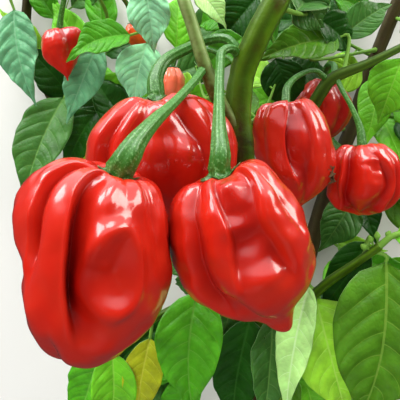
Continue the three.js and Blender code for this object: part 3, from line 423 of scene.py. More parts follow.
def sunk(fruit, height, angle, radius):
    """How deep the folds are at each point, how far they lean there, and how far the bumps stand out."""
    depth, aside, raised = np.zeros_like(radius), np.zeros_like(radius), np.zeros_like(radius)
    for number, (at, wide, deep, start, end, sharp) in enumerate(fruit["folds"]):
        across = turned(angle - np.radians(flow(at, height))) * radius
        share = np.abs(across) / np.where(across > 0, wide[1], wide[0]) / (0.5 + height)
        walls = np.exp(-share ** np.where(across > 0, sharp[1], sharp[0]))
        ends = eased(start - 0.08, start + 0.08, height) * (1 - eased(end - 0.14, end + 0.06, height))
        full = flow(deep, (height - start) / (end - start)) * ends
        lean = fruit.get("lean", {}).get(number, 0)
        depth += full * (walls - LIP * hill((share - 1.5) / 0.4) * (lean * across > 0))
        aside += lean * full * walls
    for at, place, wide, tall, out, rim in fruit["bumps"]:
        off = np.hypot(turned(angle - math.radians(at)) / math.radians(wide), (height - place) / tall)
        raised += out * hill(off) + rim * hill((off - RIM_AT) / RIM_WIDE)
    return depth, aside, raised


# %% The points of a skin
def skin(fruit, height, angle, grow=0.0, leaning=1.0):
    """Points of the skin, and how deep each lies in a fold."""
    seat, down, right, front, length = fruit_axes(fruit)
    along = (1 - np.cos(np.pi * height)) / 2
    blunt = fruit["blunt"][0] + (fruit["blunt"][1] - fruit["blunt"][0]) * along
    belly = np.sin(np.pi * height) ** blunt
    cos, sin = np.cos(angle), np.sin(angle)
    wide = np.where(cos > 0, flow(fruit["right"], along), flow(fruit["left"], along))
    thick = np.where(sin > 0, flow(fruit["front"], along), flow(fruit["back"], along))
    steep = -2 * np.cos(np.pi * height) / length + 0 * wide
    normal = np.stack([cos * belly / wide, sin * belly / thick, steep], -1)
    normal /= np.linalg.norm(normal, axis=-1)[..., None]
    radius = np.hypot(wide * cos, thick * sin)
    fold, aside, raised = sunk(fruit, height, angle, radius * np.maximum(belly, 0.3))
    out = grow + raised - fold
    aside = leaning * aside
    tip_length, tip_radius, tip_shift = fruit["tip"]
    shoulder = (1 - hill(radius * belly / fruit["mouth"])) * np.maximum(1 - 1.6 * along, 0)
    nose = hill(radius * belly / tip_radius) * eased(0.5, 1, height)
    x = wide * cos * belly + tip_shift * nose + normal[..., 0] * out - sin * aside
    y = thick * sin * belly + normal[..., 1] * out + cos * aside
    z = (length - tip_length) * along - fruit["hollow"] * shoulder + tip_length * nose
    z = z + normal[..., 2] * out
    return seat + x[..., None] * right + y[..., None] * front + z[..., None] * down, fold


def column_angles(fruit, height, column, crowd=0.0):
    """Angles of the columns at each height: they follow the folds and, with crowd, gather beside them."""
    starts = sorted((fold[0] for fold in fruit["folds"]), key=lambda at: at[0])
    angles = []
    for k, start in enumerate(starts):
        after = starts[(k + 1) % len(starts)]
        turn = 360 if k + 1 == len(starts) else 0
        count = max(2, int((after[0] + turn - start[0]) / column + 0.5))
        even = np.arange(count) / count
        shares = (1 - crowd) * even + crowd * (0.5 - 0.5 * np.cos(np.pi * even))
        low, high = flow(start, height), flow(after, height) + turn
        angles.append(low[:, None] + (high - low)[:, None] * shares)
    return np.radians(np.concatenate(angles, 1))


print("seat of the nearest fruit, before the shift:", fruit_axes(FRUIT[0])[0].round(1))

# %% Find the shift between the two frames
# The solid fruit was made by this rule with a few rings and no leaning folds. The same rings here have to
# give nearly the same box, so the difference between the two boxes is the shift. What is left is the error.
def coarse_box(fruit):
    last = fruit["rings"] - 1
    heights = np.arange(last + 1.0)
    heights[0], heights[-1] = 0.3, last - 0.3
    heights /= last
    angles = column_angles(fruit, heights, fruit["column"])
    points, _ = skin(fruit, heights[:, None] + 0 * angles, angles, leaning=0)
    return points.reshape(-1, 3).min(0), points.reshape(-1, 3).max(0)


misses = []
for fruit in FRUIT:
    solid_low, solid_high = (np.array(corner) * 1000 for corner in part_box(fruit["name"]))
    low, high = coarse_box(fruit)
    misses += [solid_low - low, solid_high - high]
shift = np.median(misses, 0)
print("shift in mm:", shift.round(2), " largest error:", round(float(np.abs(misses - shift).max()), 3))

# %% [markdown]
# The skin of a ripe pepper is a smooth cuticle with a thin coat of wax over red flesh. The wax gives the
# sharp, wet-looking highlights, so the shader has a coat with low roughness on a body that is a little
# rougher. The flesh lets a little light through, which keeps the shaded side red and not brown. The
# folds are painted a deeper red, as painted shade that grows with the fold's depth. Very small dimples,
# about 2 mm apart, break the highlights up.

# %% Finish of the ripe skin
def waxy_skin(name, ripe, deep, pale):
    material, tree, shader = new_finish(name, Roughness=0.4, IOR=1.45, Specular_IOR_Level=0.15,
                                        Coat_Weight=1.0, Coat_Roughness=0.14, Coat_IOR=1.6,
                                        Subsurface_Weight=0.16, Subsurface_Scale=0.003)
    shader.inputs["Subsurface Radius"].default_value = (1.0, 0.15, 0.08)
    place = add_node(tree, "ShaderNodeTexCoord").outputs["Object"]
    clouds = add_node(tree, "ShaderNodeTexNoise", {"Vector": place, "Scale": per_metre(9), "Detail": 3})
    flecks = add_node(tree, "ShaderNodeTexNoise", {"Vector": place, "Scale": per_metre(1.1), "Detail": 1})
    blotches = add_node(tree, "ShaderNodeMapRange", {"Value": clouds.outputs["Fac"], "From Min": 0.42,
                                                     "From Max": 0.78, "To Max": 0.45})
    body = add_node(tree, "ShaderNodeMix", {"Factor": blotches.outputs["Result"], MIX_A: linear(ripe),
                                            MIX_B: linear(pale)}, data_type="RGBA")
    # Painted shade: the fold mark mixes the red towards the deep colour in the folds.
    fold = add_node(tree, "ShaderNodeAttribute", attribute_name="fold")
    fold_shaded = add_node(tree, "ShaderNodeMix", {"Factor": fold.outputs["Fac"], MIX_A: body.outputs[MIXED],
                                              MIX_B: linear(deep)}, data_type="RGBA")
    dimples = add_node(tree, "ShaderNodeTexNoise", {"Vector": place, "Scale": per_metre(2.2), "Detail": 2})
    bump = add_node(tree, "ShaderNodeBump", {"Height": dimples.outputs["Fac"], "Strength": 0.07,
                                             "Distance": 0.0004})
    gloss = add_node(tree, "ShaderNodeMapRange", {"Value": flecks.outputs["Fac"], "To Min": 0.34,
                                                  "To Max": 0.46})
    tree.links.new(fold_shaded.outputs[MIXED], shader.inputs["Base Color"])
    tree.links.new(gloss.outputs["Result"], shader.inputs["Roughness"])
    tree.links.new(bump.outputs["Normal"], shader.inputs["Normal"])
    return material


# The second colour of each skin is the painted shade in its folds, the third a random lighter tone.
red_skin = waxy_skin("ripe pepper skin", "#BC1C0C", "#8A0502", "#C82E16")
orange_skin = waxy_skin("half ripe pepper skin", "#F0561A", "#B83008", "#F88434")
# This lighter coral skin is partly a painted highlight, spread over the whole small half hidden fruit.
coral_highlit_skin = waxy_skin("pale red pepper skin", "#F8704C", "#D04824", "#FFA684")
print("fruit skins:", [finish.name for finish in (red_skin, orange_skin, coral_highlit_skin)])

# %% Make the fruits
FINE = {"fruit_front_left": (190, 1.7), "fruit_front_middle": (190, 1.7), "fruit_behind": (150, 2.1)}
SMALL = (84, 4.0)  # rows, and degrees from column to column
PLEATS = 23  # small pleats of the skin that fan out from the calyx
ROUND = 18  # mm of skin to a radian, for streaks on the unrolled skin
STREAK = 9  # the lower, the longer the fine streaks down the skin
SWELLS = [(0.42, 14, 0), (0.16, 8, 20)]  # mm high and apart on a fruit 40 mm wide, seed
GRAIN = [(0.1, 5.5, 40), (0.015, 2.2, 70)]  # the same, up to the seat
for number, fruit in enumerate(FRUIT):
    rows, column = FINE.get(fruit["name"], SMALL)
    height = np.linspace(0.006, 0.994, rows)
    angle = column_angles(fruit, height, column, crowd=0.5)
    tall = height[:, None] + 0 * angle
    size = fruit["left"][1] / 20
    points, fold = skin(fruit, tall, angle)
    seat, down, right, front, length = fruit_axes(fruit)
    out = np.cos(angle)[..., None] * right + np.sin(angle)[..., None] * front
    pleats = np.sin(PLEATS * angle + 2.2 * np.sin(3 * angle + number) + 3 * tall)
    relief = 0.12 * size * pleats * eased(0.05, 0.14, tall) * (1 - eased(0.16, 0.42, tall))
    for high, apart, seed in SWELLS:
        relief = relief + high * size * swells(points, apart * size, seed + number) * eased(0.03, 0.2, tall)
    for high, apart, seed in GRAIN:
        relief = relief + high * size * swells(points, apart * size, seed + number)
    unrolled = np.stack([angle * ROUND, tall * STREAK, 0 * tall], -1) * size
    relief = relief + 0.02 * size * swells(unrolled, 2.4 * size, 90 + number) * eased(0.04, 0.12, tall)
    points = points + relief[..., None] * out
    shape = closed_rings(points)
    # Painted shade: the deeper a point lies in a fold, the darker its red.
    mark = np.clip((fold - 0.8 * size) / (4.6 * size), 0, 1) * 0.95
    mark = np.concatenate([mark.ravel(), mark[0, :1], mark[-1, :1]])
    finish = {"fruit_orange": orange_skin, "fruit_half_hidden": coral_highlit_skin}.get(fruit["name"], red_skin)
    make_piece(fruit["name"] + "_skin", shape, [finish],
               "orange_skin" if fruit["name"] == "fruit_orange" else "red_skin", [fruit["name"]], fold=mark)

# %% [markdown]
# ## The stems
# A pepper plant forks again and again, and each limb is a tapering green stem with four or five soft
# ridges, a little swollen where the next one leaves it. A bevelled curve would be round and even. A tube
# built ring by ring along the same curve can have ridges, swellings and scars. The rings are kept from
# twisting by carrying the first ring's direction along the curve.

# %% Routes of the limbs and twigs
LIMBS = [
    dict(name="main_stem", on=None, radii=(5, 4.5, 4.4),
         route=[(272, 480, 265), (264, 410, 254.5), (254, 335, 232), (247, 262, 209.5),
                (243, 205, 192.5), (241, 160, 187), (238, 120, 185.5), (238, 92, 184.5)]),
    dict(name="right_limb", on="main_stem", radii=(4.3, 4.1, 3.1),
         route=[(238, 100, 185), (242, 76, 183.5), (256, 40, 180), (276, 2, 178), (296, -34, 183.5),
                (311, -62, 196)]),
    dict(name="left_limb", on="main_stem", radii=(2.7, 2, 2),
         route=[(241, 146, 187), (228, 118, 182.5), (215, 92, 177.5), (203, 60, 173.5), (193, 28, 172),
                (184, 0, 171), (175, -30, 176.5), (168, -52, 187)]),
    dict(name="fruit_branch", on="main_stem", radii=(3.6, 3.4, 3.2, 2.9, 2.4, 1.6, 1.4),
         route=[(246, 245, 203.5), (262, 208, 219.5), (285, 160, 230.5), (307, 118, 225),
                (320, 94, 218.5), (332, 79, 216), (365, 65, 214), (400, 48, 213.5), (424, 35, 216)]),
    dict(name="right_rear_limb", on="main_stem", radii=(4, 3.5, 3.1),
         route=[(257, 365, 243), (285, 305, 255.5), (308, 258, 262.5), (320, 212, 264),
                (334, 172, 265), (353, 124, 265.5), (368, 76, 264.5), (384, 36, 261), (398, 2, 256.5),
                (408, -26, 254)]),
    dict(name="left_rear_limb", on="main_stem", radii=(3.2, 2.6, 2.2),
         route=[(247, 268, 211.5), (218, 240, 236), (165, 207, 255.5), (100, 160, 264.5),
                (60, 112, 266), (38, 66, 266), (27, 28, 263), (28, -8, 258.5)]),
]
TWIGS = [
    dict(name="spray_low_right", on="main_stem", radii=(2.4, 2, 1.6),
         route=[(257, 362, 241), (288, 322, 230.5), (325, 285, 217), (352, 266, 209.5),
                (380, 246, 204.5)]),
    dict(name="spray_low_left", on="main_stem", radii=(2, 1.5, 1.2),
         route=[(250, 300, 221.5), (226, 296, 213.5), (196, 300, 207), (166, 312, 205),
                (134, 332, 208), (106, 346, 213.5)]),
    dict(name="spray_upper_left", on="left_limb", radii=(1.9, 1.6, 1.2),
         route=[(176, -26, 175.5), (152, -26, 185.5), (124, -20, 198), (96, -14, 210.5),
                (62, -16, 221.5), (38, -24, 228.5)]),
]
print("limbs:", len(LIMBS), " twigs:", len(TWIGS))

# %% Curves and tubes
def curve_through(places, fine=24):
    """A smooth curve through points, as a fine polyline, tighter where the points are close."""
    p = [np.asarray(place, float) for place in places]
    p = [2 * p[0] - p[1], *p, 2 * p[-1] - p[-2]]
    gaps = [math.sqrt(np.linalg.norm(b - a)) for a, b in zip(p, p[1:])]
    t = np.linspace(0, 1, fine, endpoint=False)[:, None]
    line = []
    for i in range(1, len(p) - 2):
        before, here, after = gaps[i - 1:i + 2]
        leave = (p[i] - p[i - 1]) / before - (p[i + 1] - p[i - 1]) / (before + here)
        leave = leave * here + (p[i + 1] - p[i])
        arrive = (p[i + 2] - p[i + 1]) / after - (p[i + 2] - p[i]) / (here + after)
        arrive = arrive * here + (p[i + 1] - p[i])
        step = p[i + 1] - p[i]
        bend, twist = 3 * step - 2 * leave - arrive, leave + arrive - 2 * step
        line.append(p[i] + leave * t + bend * t ** 2 + twist * t ** 3)
    return np.vstack([*line, p[-2]])


def spread(line, shares):
    """Points at shares of a polyline's length."""
    run = np.concatenate([[0], np.cumsum(np.linalg.norm(np.diff(line, axis=0), axis=1))])
    return np.stack([np.interp(np.asarray(shares) * run[-1], run, line[:, k]) for k in range(3)], -1)


def heading(line, share):
    a, b = spread(line, [max(share - 0.005, 0), min(share + 0.005, 1)])
    return (b - a) / np.linalg.norm(b - a)


def length_of(line):
    return np.linalg.norm(np.diff(line, axis=0), axis=1).sum()


# %% Rings round a curve
def rings_along(path, radius, sides):
    """Rings of points round a path. The radius may differ from point to point."""
    ahead = np.gradient(path, axis=0)
    ahead /= np.linalg.norm(ahead, axis=1)[:, None]
    side = np.cross(ahead[0], (0.3, 0.2, 1.0))
    sides_of = []
    for way in ahead:
        side = side - way * (side @ way)
        side /= np.linalg.norm(side)
        sides_of.append(side)
    side = np.array(sides_of)
    other = np.cross(ahead, side)
    angle = np.linspace(0, 2 * math.pi, sides, endpoint=False)
    reach = np.broadcast_to(radius, (len(path), sides)) if np.ndim(radius) == 2 else np.repeat(
        np.broadcast_to(radius, (len(path),))[:, None], sides, 1)
    ring = np.cos(angle)[None, :, None] * side[:, None] + np.sin(angle)[None, :, None] * other[:, None]
    return path[:, None] + reach[..., None] * ring


lines = {}
for limb in LIMBS + TWIGS:
    lines[limb["name"]] = curve_through([seen(place) for place in limb["route"]])
limbs = {limb["name"]: limb for limb in LIMBS + TWIGS}

# %% [markdown]
# Young stem skin is green with pale stripes along it, tan where cork begins, and dark brown round each
# fork. The main stem has its cork down one side as far as its fork, and beyond that it is green with a
# tan streak on top. The left limb is pale, and the two rear limbs are woody. Three marks on the points
# say how tan, how dark and how striped the place is, and the finish mixes its colours by them. The skin
# is matt with a faint waxy shine, so roughness is between 0.42 and 0.55. The main stem and the right limb
# share one skin, so that no seam crosses the fork.

# %% Finish of the stems
def stem_skin(name, young, stripe, tan, dark, rough):
    material, tree, shader = new_finish(name, Roughness=rough, IOR=1.45, Specular_IOR_Level=0.22,
                                        Subsurface_Weight=0.04, Subsurface_Scale=0.001)
    place = add_node(tree, "ShaderNodeTexCoord").outputs["Object"]
    mottle = add_node(tree, "ShaderNodeTexNoise", {"Vector": place, "Scale": per_metre(2.5), "Detail": 4})
    colour = linear(young)
    for mark, tint in (("stripe", stripe), ("tan", tan), ("dark", dark)):
        here = add_node(tree, "ShaderNodeAttribute", attribute_name=mark)
        share = add_node(tree, "ShaderNodeMath", {0: here.outputs["Fac"], 1: mottle.outputs["Fac"]},
                         operation="MULTIPLY")
        more = add_node(tree, "ShaderNodeMath", {0: share.outputs[0], 1: 1.9}, operation="MULTIPLY",
                        use_clamp=True)
        mixed = add_node(tree, "ShaderNodeMix", {"Factor": more.outputs[0], MIX_A: colour,
                                                 MIX_B: linear(tint)}, data_type="RGBA")
        colour = mixed.outputs[MIXED]
    grain = add_node(tree, "ShaderNodeTexNoise", {"Vector": place, "Scale": per_metre(0.8), "Detail": 3})
    bump = add_node(tree, "ShaderNodeBump", {"Height": grain.outputs["Fac"], "Strength": 0.35,
                                             "Distance": 0.0004})
    tree.links.new(colour, shader.inputs["Base Color"])
    tree.links.new(bump.outputs["Normal"], shader.inputs["Normal"])
    return material


green_stem = stem_skin("young pepper stem", "#36560A", "#52780F", "#38240A", "#1C1A08", 0.45)
pale_stem = stem_skin("pale pepper stem", "#7A9A50", "#9EBA74", "#4A4A18", "#2A2210", 0.42)
shaded_stem = stem_skin("shaded pepper stem", "#2F4E10", "#4A6C1A", "#3C3414", "#18120A", 0.5)
brown_stem = stem_skin("woody pepper stem", "#38371C", "#504C28", "#3A2A16", "#180F0A", 0.55)
CORK = {"trunk": (1, 1, 1, 1, 1, 1, 0.3, 0.2, 0.2), "left_limb": (1.4, 1.1, 0.7, 0.3, 0.2),
        "spray_low_right": (0.25, 0.1), "spray_low_left": (0.25, 0.1), "fruit_branch": (0.3, 0.2)}
FINISHES = {"left_limb": pale_stem, "fruit_branch": shaded_stem, "right_rear_limb": brown_stem,
            "left_rear_limb": brown_stem}
print("stem finishes:", len({green_stem, pale_stem, shaded_stem, brown_stem}))
pith = new_finish("cut pith", Roughness=0.7)[0]
pith.node_tree.nodes["Principled BSDF"].inputs["Base Color"].default_value = linear("#D9D6A8")

# %% Make the limbs
FOOT_Y = -126  # the main stem's flat cut
RIDGES = 5
CORKY_SIDE = np.array([-0.94, 0, 0.34])
STREAK_SIDE = np.array([0.3, 0, 0.95])
branches = [limb for limb in LIMBS + TWIGS if limb["on"] and limb["name"] != "right_limb"]
forks = np.array([lines[limb["name"]][0] for limb in branches])
trunk = dict(name="trunk", radii=(5, 4.8, 4.6, 4.5, 4.45, 4.4, 4.35, 4.1, 3.1),
             route=LIMBS[0]["route"][:-1] + LIMBS[1]["route"][1:])
limbs["trunk"] = trunk
lines["trunk"] = curve_through([seen(place) for place in trunk["route"]])


def along_limb(values, share):
    return np.interp(share, np.linspace(0, 1, len(values)), values)


# %% The shape of one stem
def stem_shape(name, sides, step, seed):
    """A ridged stem, swollen at its forks, with its marks."""
    limb = limbs[name]
    line = lines[name]
    rows = max(8, int(length_of(line) / step))
    share = np.linspace(0, 1, rows)
    path = spread(line, share)
    if name == "trunk":
        path = path[path[:, 1] > FOOT_Y]
        start = spread(line, np.linspace(0, 1, 4000))
        first = start[start[:, 1] > FOOT_Y][0]
        path = np.vstack([first, path[1:]])
        share = np.linspace(share[-1] - length_of(path) / length_of(line), 1, len(path))
    radius = along_limb(limb["radii"], share)
    near = np.min(np.linalg.norm(path[:, None] - forks[None], axis=2), axis=1)
    swollen = radius * (1 + 0.1 * hill(near / 8))
    run = share * length_of(line)
    if name != "trunk":
        swollen = swollen + 0.3 * radius * np.exp(-run / 5)
        near = near * (1 - 0.85 * np.exp(-run / 16))
    rings = rings_along(path, swollen, sides)
    angle = np.linspace(0, 2 * math.pi, sides, endpoint=False)[None, :]
    run = run[:, None]
    ridges = 0.04 * np.cos(RIDGES * angle + 0.9 * np.sin(run / 34 + seed)) + 0.012 * np.cos(17 * angle + seed)
    rough = 0.03 * swells(rings, 9, seed) + 0.012 * swells(rings, 2.6, seed + 1)
    rings = path[:, None] + (rings - path[:, None]) * (1 + ridges + rough)[..., None]
    if name == "trunk":
        rings[0, :, 1] = FOOT_Y
    stripe = np.clip(0.5 + 0.5 * np.cos(RIDGES * angle + 0.9 * np.sin(run / 34 + seed)), 0, 1) + 0 * run
    dark = hill(near / 6)[:, None] * (0.6 + 0.4 * np.cos(angle + seed))
    outward = (rings - path[:, None]) / np.maximum(swollen, 0.1)[:, None, None]
    cork = along_limb(CORK.get(name, (0.6, 0.6)), share)[:, None]
    wander = 0.12 * swells(rings, 22, seed + 5)
    tan = eased(-0.12, 0.35, outward @ CORKY_SIDE + wander)
    tan = cork * (tan if name == "trunk" else 0.5 + 0.5 * tan)
    if name == "trunk":
        tan = tan + 0.8 * (1 - cork) * eased(0.86, 1, outward @ STREAK_SIDE + 0.5 * wander)
    marks = dict(stripe=stripe, dark=dark, tan=tan)
    for mark, values in marks.items():
        marks[mark] = np.concatenate([values.ravel(), values[0, :1], values[-1, :1]])
    return closed_rings(rings), marks


# %% Make the skins of the stems
for seed, limb in enumerate([trunk] + LIMBS[2:]):
    shape, marks = stem_shape(limb["name"], 40, 1.1, seed)
    points, faces, finishes = shape
    finish = FINISHES.get(limb["name"], green_stem)
    replaced = [limb["name"]]
    if limb is trunk:
        finishes[np.all(np.abs(points[np.maximum(faces, 0)][:, :, 1] - FOOT_Y) < 0.01, axis=1)] = 1
        replaced = ["main_stem", "right_limb"]
    make_piece(limb["name"] + "_skin", shape, [finish, pith], "stem", replaced, **marks)
for seed, twig in enumerate(TWIGS):
    shape, marks = stem_shape(twig["name"], 20, 1.2, 20 + seed)
    make_piece(twig["name"].replace("spray", "twig"), shape, [green_stem], "stem", **marks)
print("forks that the stems swell at:", len(forks))

# %% [markdown]
# ## Fruit stalks and calyxes
# A fruit hangs on a stalk that thickens towards it and ends in a calyx, a green star of joined sepals.
# The calyx lies on the skin and follows its folds, so its rim is found on the skin itself: at each angle
# the rule looks for the height where the fruit is as wide as the rim. From the stalk's end a curve
# flares out to that rim, with small teeth that curl up at their ends.

# %% Routes of the stalks
STALKS = [
    dict(name="stalk_front_left", on="left_limb", fruit="fruit_front_left",
         radii=(1.25, 1.3, 1.6, 2.4, 3.9), calyx=4.5,
         route=[(205, 66, 175), (197, 78, 170.3), (176, 101, 160.3), (154, 122, 150.6),
                (137, 142, 145.2), (127, 159, 143)]),
    dict(name="stalk_front_middle", on="right_limb", fruit="fruit_front_middle",
         radii=(1.4, 1.4, 1.8, 3.1), calyx=4.9,
         route=[(242, 60, 182.5), (232, 49, 178.5), (222, 52, 175), (220, 68, 171.5),
                (219, 100, 165.5), (219, 132, 159), (220, 156, 154.5)]),
    dict(name="stalk_behind", on="right_limb", fruit="fruit_behind", radii=(1.5, 1.6, 2, 2.8),
         calyx=4.8,
         route=[(242, 66, 183.5), (236, 48, 183.5), (226, 39, 184.5), (208, 40, 185.5),
                (186, 49, 184.5), (165, 61, 181.5), (156, 78, 178)]),
    dict(name="stalk_right", on="fruit_branch", fruit="fruit_right", radii=(1.1, 0.95, 1.1, 1.6),
         calyx=2.6,
         route=[(328, 81, 217), (316, 71, 213.5), (298, 76, 206), (287, 88, 200.5)]),
    dict(name="stalk_far_right", on="fruit_branch", fruit="fruit_far_right", radii=(1, 0.9, 1.1, 1.8),
         calyx=2.6,
         route=[(336, 77, 216), (342, 90, 212.5), (352, 108, 209.5), (360, 128, 208)]),
    dict(name="stalk_under_fork", on="fruit_branch", fruit="fruit_under_fork", radii=(1.2, 1.3, 1.4, 1.7),
         calyx=2.8,
         route=[(334, 78, 216), (334, 66, 225), (328, 66, 233)]),
    dict(name="stalk_upper_left", on="spray_upper_left", fruit="fruit_upper_left", radii=(1, 1, 1.1, 1.4),
         calyx=2.2,
         route=[(66, -15, 220), (64, 0, 223), (61, 16, 226)]),
    dict(name="stalk_orange", on="spray_upper_left", fruit="fruit_orange", radii=(0.8, 0.8, 0.9, 1.1),
         calyx=1.8,
         route=[(114, -18, 202.5), (120, -6, 219.5), (129, 8, 232)]),
    dict(name="stalk_half_hidden", on="right_limb", fruit="fruit_half_hidden", radii=(0.8, 0.8, 0.8, 1),
         calyx=1.7,
         route=[(243, 72, 183.5), (226, 56, 200), (200, 48, 214), (178, 52, 220.5)]),
]
print("stalks:", len(STALKS))

# %% [markdown]
# The stalk is waxy: green with many pale specks, and glossier than the stem. The calyx is darker and
# wrinkled. One mark says how far down towards the calyx a point is.

# %% Finish of the stalks
stalk_skin, tree, shader = new_finish("waxy fruit stalk", Roughness=0.36, IOR=1.45, Subsurface_Weight=0.06,
                                      Subsurface_Scale=0.001, Specular_IOR_Level=0.42, Coat_Weight=0.14,
                                      Coat_Roughness=0.25)
place = add_node(tree, "ShaderNodeTexCoord").outputs["Object"]
specks = add_node(tree, "ShaderNodeTexNoise", {"Vector": place, "Scale": per_metre(0.7), "Detail": 3})
wax = add_node(tree, "ShaderNodeMapRange", {"Value": specks.outputs["Fac"], "From Min": 0.52,
                                            "From Max": 0.68, "To Max": 0.5})
calyx_mark = add_node(tree, "ShaderNodeAttribute", attribute_name="calyx")
green = add_node(tree, "ShaderNodeMix", {"Factor": calyx_mark.outputs["Fac"], MIX_A: linear("#396F22"),
                                         MIX_B: linear("#214A10")}, data_type="RGBA")
specked = add_node(tree, "ShaderNodeMix", {"Factor": wax.outputs["Result"], MIX_A: green.outputs[MIXED],
                                           MIX_B: linear("#80B26C")}, data_type="RGBA")
bump = add_node(tree, "ShaderNodeBump", {"Height": specks.outputs["Fac"], "Strength": 0.3,
                                         "Distance": 0.0003})
tree.links.new(specked.outputs[MIXED], shader.inputs["Base Color"])
tree.links.new(bump.outputs["Normal"], shader.inputs["Normal"])

# %% Make the stalks and calyxes
TEETH = 7
NECK = 0.5  # height above the seat where the stalk begins to flare, as a share of the calyx
STALK_SIDES = 60
FLARE_ROWS = 17
fruits = {fruit["name"]: fruit for fruit in FRUIT}


def calyx_rim(fruit, reach, angle, grow):
    """Points of the skin that lie reach from the fruit's axis."""
    seat, down, right, front, _ = fruit_axes(fruit)
    heights = np.linspace(0.004, 0.4, 120)
    points, _ = skin(fruit, heights[:, None] + 0 * angle[None], angle[None] + 0 * heights[:, None], grow)
    wide = np.hypot((points - seat) @ right, (points - seat) @ front)
    found = np.array([np.interp(reach[k], wide[:, k], heights) for k in range(len(angle))])
    return skin(fruit, found, angle, grow)[0]


# %% The shape of one stalk
def stalk_shape(stalk, seed):
    fruit = fruits[stalk["fruit"]]
    seat, down, right, front, _ = fruit_axes(fruit)
    size = stalk["calyx"]
    line = curve_through([seen(place) for place in stalk["route"]] + [seat - down * NECK * size])
    rows = max(24, int(length_of(line) / 0.8))
    share = np.linspace(0, 1, rows)
    path = spread(line, share)
    radius = np.interp(share, np.linspace(0, 1, 60), flow(stalk["radii"], np.linspace(0, 1, 60)))
    radius = radius * (1 + 0.35 * np.exp(-share * length_of(line) / 2.2))
    rings = rings_along(path, radius, STALK_SIDES)
    angle = np.linspace(0, 2 * math.pi, STALK_SIDES, endpoint=False)
    ridges = 0.05 * np.cos(TEETH * angle + seed) + 0.015 * swells(rings, 7, seed)
    ridges = ridges + 0.008 * swells(rings, 1.6, seed)
    rings = path[:, None] + (rings - path[:, None]) * (1 + ridges)[..., None]
    last = rings[-1] - path[-1]
    turn = np.arctan2(last @ front, last @ right)
    lobes = np.cos(TEETH * turn + 0.8 * np.sin(2 * turn + seed))
    teeth = np.clip(lobes, 0, 1) ** 2
    uneven = 1 + 0.4 * np.sin(2.6 * turn + seed)
    reach = size * (0.92 + 0.34 * teeth * uneven + 0.05 * np.sin(3 * turn + seed))
    curl = size * 0.1 * teeth
    rim = calyx_rim(fruit, reach, turn, 0.25) - curl[:, None] * down
    shoulder = calyx_rim(fruit, reach * 0.72, turn, 0.9)
    start = rings[-1]
    first = start + down * size * 0.3
    flare = []
    for t in np.linspace(0, 1, FLARE_ROWS + 1)[1:]:
        flare.append((1 - t) ** 3 * start + 3 * (1 - t) ** 2 * t * first
                     + 3 * (1 - t) * t ** 2 * shoulder + t ** 3 * rim)
    flare = np.array(flare)
    axis = seat + ((flare - seat) @ down)[..., None] * down
    t = np.linspace(0, 1, FLARE_ROWS + 1)[1:][:, None]
    wrinkle = 0.05 * lobes[None] * t + 0.03 * swells(flare, 2.2, seed + 3) * eased(0, 0.3, t)
    flare = axis + (flare - axis) * (1 + wrinkle)[..., None]
    lip = calyx_rim(fruit, reach * 0.93, turn, 0.02) - 0.3 * curl[:, None] * down
    inside = calyx_rim(fruit, reach * 0.6, turn, -0.1)
    rings = np.concatenate([rings, flare, lip[None], inside[None]])
    low = np.linspace(0, 1, rows)
    mark = np.concatenate([0.35 * eased(0.6, 1, low), np.linspace(0.4, 1, FLARE_ROWS), [1, 1]])
    mark = np.repeat(mark[:, None], STALK_SIDES, 1)
    return closed_rings(rings), np.concatenate([mark.ravel(), [0, 1]])


# %% Give each stalk its calyx
for seed, stalk in enumerate(STALKS):
    shape, mark = stalk_shape(stalk, seed)
    make_piece(stalk["name"] + "_and_calyx", shape, [stalk_skin], "fruit_stalk", [stalk["name"]], calyx=mark)
print("stalks with a calyx:", len(STALKS))

# %% [markdown]
# ## The leaves
# A pepper leaf is a thin pointed blade on a grooved stalk. A midrib runs to its tip and six to eight side
# veins on each half leave it, curve forwards and end near the margin. The blade bulges between the
# veins, and its margin waves a little. A flat plane with a leaf picture would show none of that from the
# side, so the blade is a mesh whose cross lines run along the side veins. The veins are then strips of
# faces of their own, paler than the blade, and the bulges fall exactly between them.

